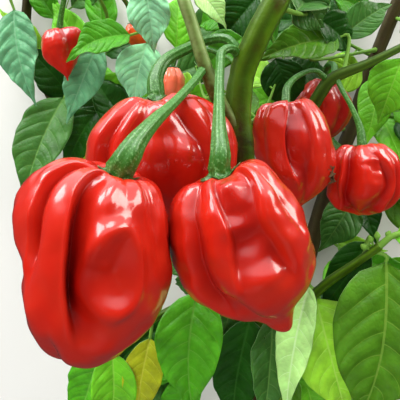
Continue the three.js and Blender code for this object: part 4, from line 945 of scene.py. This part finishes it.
# %% Places of the leaves
# Name, what carries it, place along that, foot and tip of the blade, width, roll away from the eye,
# height of the arch, fold of the two halves in degrees, tint, wave of the margin, and puckering.
LEAVES = [
    ("leaf_low_1", "spray_low_left", 0.4, (197, 291, 201.5), (194, 418, 203.5),
     23.4, 6, 4.5, 18, "fresh", 1.2, 0.7),
    ("leaf_low_2", "spray_low_left", 0.97, (112, 352, 214), (104, 440, 221.5),
     17.1, -14, 4.5, 16, "bright", 0.8, 0.5),
    ("leaf_low_3", "spray_low_left", 0.86, (102, 348, 221.5), (74, 432, 232),
     18, 18, 3.6, 14, "fresh", 0.8, 0.5),
    ("leaf_low_4", "spray_low_left", 0.7, (150, 338, 218), (137, 428, 221.5),
     15.3, -10, 3.6, 12, "yellow", 0.6, 0.4),
    ("leaf_low_5", "spray_low_left", 0.58, (176, 318, 223), (112, 372, 241),
     21.6, 10, 3.6, 16, "dark", 0.8, 0.5),
    ("leaf_low_6", "main_stem", 0.42, (250, 318, 221.5), (232, 430, 236),
     20.7, 8, 3.6, 14, "dark", 0.8, 0.6),
    ("leaf_low_7", "spray_low_right", 0.1, (272, 318, 225), (262, 430, 221.5),
     17.1, -14, 5.4, 20, "grey", 1.2, 0.5),
    ("leaf_low_8", "spray_low_right", 0.42, (309, 286, 214), (286, 422, 212.5),
     14, 30, 5.4, 22, "pale", 0.8, 0.4),
    ("leaf_low_9", "spray_low_right", 0.5, (315, 298, 221.5), (348, 424, 219.5),
     30, -8, 5.4, 20, "lime", 1.0, 0.6),
    ("leaf_low_10", "spray_low_right", 0.96, (386, 262, 205), (354, 428, 216),
     37.8, 6, 6.3, 16, "deep", 1.2, 0.8),
    ("leaf_low_11", "spray_low_right", 0.9, (366, 242, 212.5), (318, 312, 228.5),
     15.3, 24, 2.7, 18, "dark", 0.6, 0.4),
    ("leaf_right_1", "right_rear_limb", 0.5, (352, 200, 248.5), (318, 252, 252),
     18, 0, 3.6, 14, "grey", 0.8, 0.6),
    ("leaf_right_2", "right_rear_limb", 0.76, (376, 80, 248.5), (362, 152, 243),
     15.3, 12, 3.6, 14, "bright", 0.6, 0.4),
    ("leaf_right_3", "right_rear_limb", 0.78, (362, 68, 255.5), (310, 88, 260),
     18, -6, 2.7, 10, "lime", 0.6, 0.4),
    ("leaf_right_4", "fruit_branch", 0.93, (402, 58, 221.5), (378, 124, 232),
     19.8, 8, 3.6, 14, "bright", 0.8, 0.5),
    ("leaf_top_1", "fruit_branch", 0.72, (337, 38, 216), (253, 62, 209),
     17.1, 14, 4.5, 24, "deep", 0.8, 0.5),
    ("leaf_top_2", "right_rear_limb", 0.82, (343, 36, 225), (392, 4, 225),
     13.5, -6, 3.6, 20, "grey", 0.6, 0.5),
    ("leaf_top_3", "right_limb", 0.08, (276, 58, 227), (288, 114, 236),
     18, 6, 3.6, 14, "dark", 0.6, 0.4),
    ("leaf_top_4", "right_limb", 0.62, (292, -10, 200), (322, 32, 210.5),
     18, -8, 3.6, 14, "grey", 0.8, 0.6),
    ("leaf_top_5", "right_limb", 0.52, (258, -4, 198), (220, 42, 209),
     22.5, 6, 3.6, 16, "dark", 0.8, 0.4),
    ("leaf_top_6", "left_limb", 0.86, (192, -16, 183.5), (227, 30, 191),
     9.9, -20, 2.7, 20, "pale", 0.4, 0.3),
    ("leaf_upper_1", "spray_upper_left", 0.2, (146, -12, 201.5), (154, 53, 210.5),
     15.5, 8, 3.6, 12, "blue", 1.0, 0.9),
    ("leaf_upper_2", "spray_upper_left", 0.3, (147, 43, 226), (134, 108, 236),
     19, -6, 3.6, 12, "blue", 1.0, 1.0),
    ("leaf_upper_3", "spray_upper_left", 0.42, (130, 35, 221.5), (66, 62, 219.5),
     15, 16, 3.6, 22, "fresh", 1.0, 0.6),
    ("leaf_upper_4", "spray_upper_left", 0.6, (98, 44, 236), (66, 124, 243),
     16.2, -6, 3.6, 14, "sea", 1.0, 1.0),
    ("leaf_upper_5", "spray_upper_left", 0.96, (14, 10, 236), (36, 106, 243),
     18.9, 6, 3.6, 14, "sea", 1.2, 1.0),
    ("leaf_left_1", "left_rear_limb", 0.62, (64, 98, 254), (22, 212, 246.5),
     23.4, 6, 4.5, 16, "grey", 0.8, 0.6),
    ("leaf_left_2", "left_rear_limb", 0.46, (108, 98, 255.5), (64, 178, 257.5),
     20.7, 0, 3.6, 14, "dark", 0.8, 0.6),
    ("leaf_mid_1", "main_stem", 0.93, (213, 84, 236), (192, 130, 252),
     18, -6, 2.7, 12, "bright", 0.6, 0.4),
]
print("large leaves:", len(LEAVES))

# %% One leaf as a rule
BLADE = 0.3  # mm thick
PETIOLE = 0.9  # radius of a leaf stalk
SWAY = 0.045  # how far a midrib bends to one side, as a share of its length


def blade_width(t):
    """Half width as a share of the full width, from foot to tip: egg-shaped, drawn out to a point."""
    body = 0.5 * np.sin(np.pi * np.clip(t, 0, 1) ** 0.68) ** 0.9 * (1.1 - 0.26 * t)
    return body * (1 - 0.55 * eased(0.55, 0.97, t)) + 0.01


def vein_rows(veins, between):
    """Cross lines of a blade: place of each, its lean to the vein's edge, and the vein it edges or -1."""
    places, leans, edges = [0.0], [0], [-1]
    centres = (np.arange(2 * veins) + 0.8) / (2 * veins + 0.8) * 0.94
    before = 0.0
    for vein, centre in enumerate(centres):
        for k in range(1, between + 1):
            places.append(before + (centre - before) * k / (between + 1))
            leans.append(0)
            edges.append(-1)
        places += [centre, centre]
        leans += [-1, 1]
        edges += [vein, -1]
        before = centre
    places += [0.955, 0.975, 0.99, 1.0]
    leans += [0] * 4
    edges += [-1] * 4
    return np.array(places), np.array(leans), np.array(edges), centres


# %% The points of one leaf
def leaf_shape(foot, tip, face, width, bend, fold, wave, pucker, seed, veins=7, between=4, columns=10):
    """A closed blade. Finish 0 is the upper side, 1 the veins on it and 2 the underside."""
    rng = np.random.default_rng(seed)
    along = tip - foot
    length = np.linalg.norm(along)
    along = along / length
    side = np.cross(along, face)
    side /= np.linalg.norm(side)
    up = np.cross(side, along)
    places, leans, edges, centres = vein_rows(veins, between)
    share = np.concatenate([[0, 0.02], np.linspace(0.1, 1, columns - 1) ** 0.9])
    signed = np.concatenate([-share[:0:-1], share])[None, :]
    share = np.abs(signed)
    vein_half = 0.0016 + 0.1 / length
    start = places[:, None] + leans[:, None] * vein_half * (1 - 0.75 * share)
    slant = 1.15 * width / 2 / length * np.clip(1 - start, 0, 1) ** 0.8
    ahead = slant * (1 - np.exp(-np.clip(start, 0, 1) / 0.06))
    t = np.clip(start + ahead * share ** 1.5, 0, 1)
    half = blade_width(t) * width
    midrib = np.minimum(0.55 * (1 - 0.75 * t) * length / 80 + 0.12, 0.5 * half)
    inner = np.abs(signed) <= 0.021
    outer = midrib + (half - midrib) * (share - 0.02) / 0.98
    lateral = np.where(share == 0, 0, np.where(inner, midrib, outer))
    lateral = np.sign(signed) * lateral
    lift = math.tan(math.radians(fold))
    height = bend * 4 * t * (1 - t) + np.abs(lateral) * lift / (1 + lift)
    phase = rng.uniform(0, 2 * math.pi, 4)
    margin = share ** 2 * eased(0, 0.2, t) * (1 - eased(0.85, 1, t))
    turns = np.where(signed < 0, phase[0], phase[1])
    height = height + wave * margin * np.sin(2 * math.pi * 2.3 * t + turns)
    height = height + 0.35 * wave * margin * np.sin(2 * math.pi * 6.1 * t + 2 * turns)
    height = height - 0.05 * length * eased(0.7, 1, t) * (t - 0.7)
    bulge = np.zeros_like(t)
    for half_of in (0, 1):
        mine = np.concatenate([[-0.02], centres[half_of::2], [1.0]])
        which = np.clip(np.searchsorted(mine, start) - 1, 0, len(mine) - 2)
        part = np.clip((start - mine[which]) / (mine[which + 1] - mine[which]), 0, 1)
        bulge = np.where((signed < 0) == (half_of == 0), np.sin(np.pi * part) ** 0.8, bulge)
    bulge = bulge * eased(0, 0.25, share) * (1 - 0.55 * eased(0.6, 1, share)) * (1 - t) ** 0.3
    height = height + pucker * width / 20 * bulge
    sway = SWAY * length * math.sin(phase[2])
    flat = np.stack([t * length, lateral, 0 * t], -1)
    height = height + 0.35 * pucker * swells(flat, 8, seed) * eased(0, 0.3, share)
    height = height + 0.10 * pucker * swells(flat, 2.8, seed + 1)
    groove = np.where(share == 0, 0.22, 0.0) * (1 - 0.6 * t)
    middle = foot + (t * length)[..., None] * along + (lateral + sway * np.sin(np.pi * t))[..., None] * side
    on_vein = (leans != 0)[:, None] & (share > 0)
    top = middle + (height + BLADE / 2 - groove - 0.06 * on_vein)[..., None] * up
    rib = np.where(share == 0, 0.45 * (1 - 0.7 * t) * length / 80, 0)
    rib = rib + np.where(on_vein, 0.14 * (1 - share), 0)
    under = middle + (height - BLADE / 2 - rib)[..., None] * up
    rows, wide = t.shape
    ring = np.concatenate([top, under[:, ::-1]], 1)
    points = ring.reshape(-1, 3)
    faces = sleeve(rows, 2 * wide)
    j = np.arange(wide - 1)
    caps = [np.stack([base + j, base + j + 1, base + 2 * wide - 2 - j, base + 2 * wide - 1 - j], -1)
            for base in (0, (rows - 1) * 2 * wide)]
    caps[1] = caps[1][:, ::-1]
    kind = np.full((rows - 1, 2 * wide), 2)
    kind[:, :wide - 1] = 0
    centre = wide // 2
    kind[:, centre - 1:centre + 1] = 1
    for row in np.flatnonzero(edges >= 0):
        if edges[row] % 2:
            kind[row, centre:wide - 2] = 1
        else:
            kind[row, 1:centre] = 1
    faces = np.vstack([faces, *caps])
    return points, faced_out(points, faces), np.concatenate([kind.ravel(), np.full(2 * (wide - 1), 2)])


def leaf_face(foot, tip, roll):
    """The direction that a blade faces: up, turned round the leaf by its roll."""
    along = (tip - foot) / np.linalg.norm(tip - foot)
    angle = math.radians(roll)
    up = np.array([0, 0, 1.0])
    forward = along * along[2] * (1 - math.cos(angle))
    return up * math.cos(angle) + np.cross(along, up) * math.sin(angle) + forward


def petiole_shape(root, foot, along, thick=1.0, sides=10):
    """A leaf stalk from the limb to the foot of the blade, running on below the midrib."""
    gap = np.linalg.norm(root - foot)
    line = curve_through([root, foot - along * gap * 0.35, foot, foot + along * 6])
    share = np.linspace(0, 1, max(10, int(length_of(line) / 1.5)))
    radius = thick * PETIOLE * np.interp(share, [0, 0.12, 0.6, 0.86, 1], [1.5, 0.95, 0.8, 0.55, 0.25])
    path = spread(line, share)
    path[:, 2] -= 0.35 * thick * eased(0.6, 0.9, share)
    return closed_rings(rings_along(path, radius, sides))


# %% [markdown]
# The upper side of a leaf is a smooth cuticle over uneven green tissue: half glossy, roughness near 0.4.
# The leaves of one branch differ a lot in tint. Young ones are yellow-green and old ones deep green.
# Some tints also carry painted light: blue is a painted sheen of the sky on leaves that face it, lime and
# pale are partly a painted glow of light through backlit leaves, and dark is partly painted shade on
# leaves that lie behind others. So each leaf takes one plain tint from a short list, and its veins take
# a paler one. A net of the finest veins, about 2 mm apart, is only in the bump.

# %% Finishes of the leaves
# Painted light: blue paints the sky's sheen, lime and pale partly paint light shining through, dark partly
# paints shade.
TINTS = {  # upper side, veins
    "fresh": ("#4A981A", "#62A634"),
    "bright": ("#66B422", "#7FC23C"),
    "lime": ("#96D236", "#AADA56"),
    "yellow": ("#A2AC1E", "#B4BA3A"),
    "deep": ("#4A7C18", "#6A9230"),
    "dark": ("#1B4A0C", "#295A18"),
    "blue": ("#98DEA6", "#A6E4B0"),
    "sea": ("#62A070", "#78B082"),
    "grey": ("#3E6E2A", "#5A863E"),
    "pale": ("#B4E686", "#C8EEA4"),
}


def leaf_finish(name, tint, rough, spread_of_tint, specular):
    material, tree, shader = new_finish(name, Roughness=rough, IOR=1.45, Specular_IOR_Level=specular,
                                        Subsurface_Weight=0.05, Subsurface_Scale=0.001)
    place = add_node(tree, "ShaderNodeTexCoord").outputs["Object"]
    cloud = add_node(tree, "ShaderNodeTexNoise", {"Vector": place, "Scale": per_metre(7), "Detail": 4})
    light = [min(1, v * (1 + spread_of_tint)) for v in linear(tint)[:3]] + [1]
    shade = [v * (1 - spread_of_tint) for v in linear(tint)[:3]] + [1]
    part = add_node(tree, "ShaderNodeMapRange", {"Value": cloud.outputs["Fac"], "From Min": 0.3,
                                                 "From Max": 0.7})
    body = add_node(tree, "ShaderNodeMix", {"Factor": part.outputs["Result"], MIX_A: shade, MIX_B: light},
                    data_type="RGBA")
    net = add_node(tree, "ShaderNodeTexVoronoi", {"Vector": place, "Scale": per_metre(2.2)},
                   feature="DISTANCE_TO_EDGE")
    cells = add_node(tree, "ShaderNodeMapRange", {"Value": net.outputs["Distance"], "From Max": 0.25})
    bump = add_node(tree, "ShaderNodeBump", {"Height": cells.outputs["Result"], "Strength": 0.25,
                                             "Distance": 0.0003})
    tree.links.new(body.outputs[MIXED], shader.inputs["Base Color"])
    tree.links.new(bump.outputs["Normal"], shader.inputs["Normal"])
    return material


finish_of = {}
for tint, (upper, vein) in TINTS.items():
    finish_of[tint] = (leaf_finish(f"{tint} leaf cuticle", upper, 0.42, 0.25, 0.3),
                       leaf_finish(f"{tint} leaf veins", vein, 0.5, 0.08, 0.25))
underside = leaf_finish("leaf underside", "#7FA868", 0.6, 0.12, 0.3)


def make_leaves(name, leaves, replaced):
    """One piece from (tint, shape) pairs, with the finishes that its tints need."""
    tints = sorted({tint for tint, _ in leaves})
    shapes = []
    for tint, (points, faces, kind) in leaves:
        shapes.append((points, faces, np.where(kind == 2, 2 * len(tints), 2 * tints.index(tint) + kind)))
    materials = [finish for tint in tints for finish in finish_of[tint]] + [underside]
    return make_piece(name, joined(shapes), materials, "leaf", replaced)


# %% Grow the large leaves
leaves_on = {}  # leaves by what carries them
leaf_stalks = []
for number, (name, on, at, foot, tip, width, roll, bend, fold, tint, wave, pucker) in enumerate(LEAVES):
    foot, tip = seen(foot), seen(tip)
    along = (tip - foot) / np.linalg.norm(tip - foot)
    face = leaf_face(foot, tip, roll)
    shape = leaf_shape(foot, tip, face, width, bend, fold, wave, pucker, 100 + number)
    leaves_on.setdefault(on, []).append((tint, shape))
    leaf_stalks.append(petiole_shape(spread(lines[on], [at])[0], foot, along))
print("carried by:", {on: len(some) for on, some in leaves_on.items()})

# %% [markdown]
# ## Leafy shoots
# Each limb goes on into a shoot with leaves set round it. Each leaf is turned from the last by 137.5
# degrees and a seeded draw. The turn, the draws and the lengths follow the rule of the solid model, so a
# finer leaf stands where each plain one stood.

# %% Grow the shoots
SHOOTS = [
    ("shoot_top_right", "right_limb", (338, -98, 219.5), 6, 45, 11),
    ("shoot_top_left", "left_limb", (150, -92, 221.5), 6, 41, 23),
    ("shoot_right", "fruit_branch", (462, 14, 232), 5, 40, 37),
    ("shoot_rear_right", "right_rear_limb", (424, -66, 241), 5, 40, 41),
    ("shoot_rear_left", "left_rear_limb", (34, -52, 255.5), 5, 30, 59),
    ("shoot_upper_left", "spray_upper_left", (10, -42, 237.5), 4, 34, 67),
    ("shoot_low_right", "spray_low_right", (422, 240, 207), 4, 34, 71),
]
TURN = math.radians(137.5)
SHOOT_RADIUS = 1.2
LOWEST_LEAF = 1.5


def draws(seed):
    """The same run of draws from 0 to 1 for the same seed, on any machine."""
    state = seed * 1000 + 7
    while True:
        state = state * 16807 % 2147483647
        yield state / 2147483647


def turned_round(vector, axis, angle):
    return (vector * math.cos(angle) + np.cross(axis, vector) * math.sin(angle)
            + axis * (axis @ vector) * (1 - math.cos(angle)))


# %% The leaves of one shoot
def shoot_leaves(line, leaves, size, seed, tints, fine):
    """The leaves of a shoot, with their stalks."""
    draw = draws(seed)
    made, stalks = [], []
    for i in range(leaves):
        t = 0.3 + 0.68 * i / (leaves - 1)
        foot = spread(line, [t])[0]
        ahead = heading(line, t)
        turn = TURN * i + next(draw)
        across = np.cross(ahead, (0, 0, 1))
        out = turned_round(across / np.linalg.norm(across), ahead, turn)
        length = size * (0.75 + 0.35 * next(draw)) * (1.05 - 0.45 * t)
        way = 0.8 * out + 0.7 * ahead
        way[2] *= 0.55
        way /= np.linalg.norm(way)
        tip = foot + way * length
        tip[2] = max(tip[2], LOWEST_LEAF + 1)
        face = np.array([0, 0, 1]) + 0.3 * ahead
        along = (tip - foot) / np.linalg.norm(tip - foot)
        shape = leaf_shape(foot + along * 2, tip, face, length * 0.46, length * 0.07, 14, 0.5, 0.5,
                           1000 * seed + i, *fine)
        made.append((tints[i % len(tints)], shape))
        stalks.append(petiole_shape(foot, foot + along * 2.5, along, 0.6, 6))
    return made, stalks


SHOOT_FINE = (6, 2, 6)  # veins on each half, lines between them, columns
SHOOT_TINTS = ["fresh", "bright", "deep", "lime", "grey", "dark"]
shoot_twigs = []
for name, on, to, leaves, size, seed in SHOOTS:
    limb = lines[on]
    start, end = spread(limb, [0.97])[0], seen(to)
    middle = limb[-1] + heading(limb, 1) * 0.4 * np.linalg.norm(end - start)
    line = curve_through([start, middle, end])
    share = np.linspace(0, 1, 24)
    shoot_twigs.append(closed_rings(rings_along(spread(line, share), SHOOT_RADIUS * (1.3 - 1.0 * share), 10)))
    tints = SHOOT_TINTS[seed % 5:] + SHOOT_TINTS[:seed % 5]
    made, stalks = shoot_leaves(line, leaves, size, seed, tints, SHOOT_FINE)
    leaves_on.setdefault(on, []).extend(made)
    leaf_stalks.extend(stalks)

# %% [markdown]
# Between the large leaves hang many smaller ones, on thin side twigs that the solid model doesn't have.
# One row says where a twig leaves its limb, where it ends, how many leaves it has, how long they are, and
# its seed. Its leaves stand left and right by turns, lean forwards and droop a little. A leaf that would
# pass in front of a fruit or run through a limb is skipped.

# %% Grow the side twigs
SIDE_TWIGS = [
    ("right_rear_limb", 0.24, (352, 318, 243), 5, 33, 101),
    ("right_rear_limb", 0.36, (378, 262, 247), 5, 33, 102),
    ("right_rear_limb", 0.5, (392, 184, 256), 5, 33, 103),
    ("right_rear_limb", 0.62, (284, 120, 260), 5, 34, 104),
    ("right_rear_limb", 0.7, (404, 112, 250), 5, 33, 105),
    ("right_rear_limb", 0.8, (312, 10, 262), 6, 34, 106),
    ("right_rear_limb", 0.9, (420, 20, 246), 4, 32, 107),
    ("main_stem", 0.5, (322, 372, 248), 6, 36, 108),
    ("main_stem", 0.44, (160, 372, 250), 6, 36, 109),
    ("main_stem", 0.6, (200, 268, 236), 4, 28, 110),
    ("main_stem", 0.93, (284, 56, 246), 5, 33, 111),
    ("right_limb", 0.3, (236, -8, 240), 5, 34, 112),
    ("right_limb", 0.45, (330, -6, 232), 4, 34, 113),
    ("left_limb", 0.25, (196, 66, 256), 4, 30, 114),
    ("left_rear_limb", 0.42, (122, 92, 262), 6, 34, 116),
    ("left_rear_limb", 0.5, (186, 34, 263), 6, 32, 115),
    ("left_rear_limb", 0.66, (104, 40, 262), 5, 34, 118),
    ("left_rear_limb", 0.8, (70, -4, 262), 5, 32, 119),
]
SIDE_RADIUS = 0.8
SIDE_LEAN = math.radians(52)  # between a twig and its leaves
EYE = np.array([0, 0, EYE_HEIGHT])
clear_of = [spread(lines[limb["name"]], np.linspace(0, 1, 80)) for limb in LIMBS]


def hides_fruit(points):
    """Whether a leaf at these points stands before a fruit, as the eye sees it."""
    for fruit in FRUIT:
        seat, down, _, _, length = fruit_axes(fruit)
        for share in (0.1, 0.35, 0.65, 0.9):
            centre = seat + down * length * share
            reach = 0.85 * fruit["left"][1] * math.sin(math.pi * share) ** 0.4
            scale = (EYE[2] - points[:, 2]) / (EYE[2] - centre[2])
            seen_at = EYE[:2] + (centre[:2] - EYE[:2]) * scale[:, None]
            near = np.linalg.norm(points[:, :2] - seen_at, axis=1) < (reach + 2) * scale
            if np.any(near & (points[:, 2] > centre[2] - reach)):
                return True
    return False


# %% The leaves of one side twig
def side_leaves(line, leaves, size, seed):
    """The leaves of a side twig, by turns on its left and right."""
    draw = draws(seed)
    made, stalks = [], []
    for i in range(leaves):
        t = 0.25 + 0.73 * i / (leaves - 1)
        ahead = heading(line, t)
        side = np.cross(ahead, (0, 0, 1)) * (1 if i % 2 else -1)
        lean = SIDE_LEAN * (1.1 - 0.7 * t) * (0.7 + 0.6 * next(draw))
        way = ahead * math.cos(lean) + side * math.sin(lean) + np.array([0, -0.35, 0.12 * next(draw) - 0.06])
        way /= np.linalg.norm(way)
        length = size * (0.8 + 0.45 * next(draw))
        foot = spread(line, [t])[0]
        tip = foot + way * length
        tip[2] = max(tip[2], LOWEST_LEAF + 1)
        along = (tip - foot) / np.linalg.norm(tip - foot)
        middle = foot + along * length * np.linspace(0.25, 1, 6)[:, None]
        touching = min(np.linalg.norm(limb[:, None] - middle[None], axis=2).min() for limb in clear_of)
        tint = SHOOT_TINTS[int(next(draw) * 5.99)]
        face = leaf_face(foot, tip, 50 * next(draw) - 25)
        if touching < 3.5 or hides_fruit(middle):
            continue
        shape = leaf_shape(foot + along * 4, tip, face, length * (0.38 + 0.1 * next(draw)), length * 0.09, 18,
                           0.8, 0.6, 1000 * seed + i, *SHOOT_FINE)
        made.append((tint, shape))
        stalks.append(petiole_shape(foot, foot + along * 4.5, along, 0.55, 6))
    return made, stalks


for on, at, to, leaves, size, seed in SIDE_TWIGS:
    start, end = spread(lines[on], [at])[0], seen(to)
    bow = np.array([0, -0.1, 0.05]) * np.linalg.norm(end - start)
    line = curve_through([start, (start + end) / 2 + bow, end])
    share = np.linspace(0, 1, 24)
    shoot_twigs.append(closed_rings(rings_along(spread(line, share), SIDE_RADIUS * (1.3 - 1.1 * share), 8)))
    made, stalks = side_leaves(line, leaves, size, seed)
    leaves_on.setdefault(on, []).extend(made)
    leaf_stalks.extend(stalks)
print("side twigs:", len(SIDE_TWIGS))

# %% [markdown]
# Flower buds stand in a small cluster where a twig's tip forks, and a withered flower still clings
# between two fruits. A bud is a short spindle, and the flower is a few dry petals crumpled together.

# %% Grow the buds and the withered flower
BUDS = [  # foot and tip
    ((375, 248, 205.5), (369, 236, 203.5)), ((378, 246, 205), (377, 232, 202.5)),
    ((384, 243, 204.5), (390, 231, 203)), ((372, 251, 206), (361, 245, 204.5)),
]
for foot, tip in BUDS:
    share = np.linspace(0, 1, 16)
    path = seen(foot) + (seen(tip) - seen(foot)) * share[:, None]
    shoot_twigs.append(closed_rings(rings_along(path, 0.35 + 0.9 * hill((share - 0.72) / 0.2), 12)))
PETALS = [((330, 169, 194.5), (325, 164, 192)), ((330, 169, 194.5), (335, 166, 193)),
          ((331, 171, 194.5), (329, 178, 192)), ((331, 171, 194.5), (334, 184, 195)),
          ((332, 177, 195), (329, 184, 194))]
withered = []
for number, (foot, tip) in enumerate(PETALS):
    foot, tip = seen(foot), seen(tip)
    face = leaf_face(foot, tip, 70 * math.sin(3 * number))
    withered.append(leaf_shape(foot, tip, face, 1.9, 0.6, 50, 0.5, 0.5, 900 + number, 3, 2, 3))
print("buds:", len(BUDS), " dry petals:", len(PETALS))

# %% Make the leaf pieces, one for each limb or twig that carries leaves
carried = {}
for name, on, *_ in LEAVES + SHOOTS:
    carried.setdefault(on, []).append(name)
for on, leaves in leaves_on.items():
    spray = on.startswith("spray")
    make_leaves("leaves_of_" + on, leaves, [on] if spray else carried[on])
leaf_stalk_skin = stem_skin("leaf stalk", "#6E9C3A", "#93B85C", "#8E9A50", "#5A4A38", 0.42)
make_piece("leaf_stalks", joined(leaf_stalks + shoot_twigs), [leaf_stalk_skin], "stem")
dry_petal = leaf_finish("dry petal", "#5E4A34", 0.8, 0.3, 0.1)
petals = [(points, faces, 0 * kind) for points, faces, kind in withered]  # all of one finish
make_piece("withered_flower", joined(petals), [dry_petal], "leaf")
print("leaves:", sum(len(leaves) for leaves in leaves_on.values()), " leaf pieces:", len(leaves_on))

# %% [markdown]
# ## Camera, floor and light
# The camera looks straight down from the eye's place, with the photograph's angle of view. The floor is a
# plain pale sheet that the glossy skins don't mirror. Three low windows beyond the tips give the long
# highlights along the lobes. Two fills, one overhead and one beyond the cut end, brighten the shaded
# sides and leave no highlight. The pale world is brighter towards the tips, where the windows are.

# %% Camera
camera = bpy.data.objects.new("camera", bpy.data.cameras.new("camera"))
bpy.context.scene.collection.objects.link(camera)
camera.data.sensor_fit = "HORIZONTAL"
camera.data.angle = 2 * HALF_VIEW
camera.data.clip_start = 0.005
camera.location = (shift + (0, 0, EYE_HEIGHT)) / 1000
bpy.context.scene.camera = camera
print("camera at", [round(v, 4) for v in camera.location])

# %% Floor
FLOOR_SIZE = 6  # m
edge = FLOOR_SIZE / 2
floor_mesh = bpy.data.meshes.new("floor")
floor_mesh.from_pydata([(-edge, -edge, 0), (edge, -edge, 0), (edge, edge, 0), (-edge, edge, 0)], [],
                       [(0, 1, 2, 3)])
floor = bpy.data.objects.new("floor", floor_mesh)
bpy.context.scene.collection.objects.link(floor)
floor_finish, _, _ = new_finish("pale matt board", Roughness=0.85, Base_Color=linear("#D9D8D2"))
floor_mesh.materials.append(floor_finish)
floor.location.z = -0.0005  # just under the part
floor.visible_glossy = False  # the shiny fruits mirror the room and not the floor
print("floor:", FLOOR_SIZE, "m wide")

# %% Lights
world = bpy.data.worlds.new("pale room")
world.use_nodes = True
tree = world.node_tree
direction = add_node(tree, "ShaderNodeTexCoord").outputs["Generated"]
towards_tips = add_node(tree, "ShaderNodeSeparateXYZ", {"Vector": direction}).outputs["Y"]
strength = add_node(tree, "ShaderNodeMapRange", {"Value": towards_tips, "From Min": 0.38, "From Max": 0.66,
                                                 "To Min": 0.06, "To Max": 1.9})
background = tree.nodes["Background"]
background.inputs["Color"].default_value = linear("#E9EEF2")
tree.links.new(strength.outputs["Result"], background.inputs["Strength"])
bpy.context.scene.world = world
bpy.context.scene.view_settings.view_transform = "Standard"


def soft_light(name, place, width, height, watts, colour):
    """A rectangular softbox that faces the fruits. Returns its object."""
    data = bpy.data.lights.new(name, "AREA")
    data.shape = "RECTANGLE"
    data.size, data.size_y = width, height
    data.energy = watts
    data.color = linear(colour)[:3]
    lamp = bpy.data.objects.new(name, data)
    lamp.location = place
    target = np.array([0, 0, 0.08])
    away = np.array(place) - target
    lamp.rotation_euler = mathutils.Vector(away).to_track_quat("Z", "Y").to_euler()
    bpy.context.scene.collection.objects.link(lamp)
    return lamp


soft_light("left window", (-0.52, 0.5, 0.24), 0.4, 0.34, 4, "#FFFFFF")
soft_light("middle window", (-0.08, 0.74, 0.26), 0.42, 0.36, 4.5, "#FFFFFF")
soft_light("right window", (0.6, 0.46, 0.26), 0.42, 0.36, 4.5, "#FFFAF0")
FILLS = [("overhead fill", (-0.3, 0.25, 0.88), 4.2), ("near fill", (-0.05, -0.55, 0.5), 2.2)]
for name, place, watts in FILLS:
    fill = soft_light(name, place, 0.5, 0.5, watts, "#FFFFFF")
    fill.visible_glossy = False  # it only brightens and leaves no highlight of its own
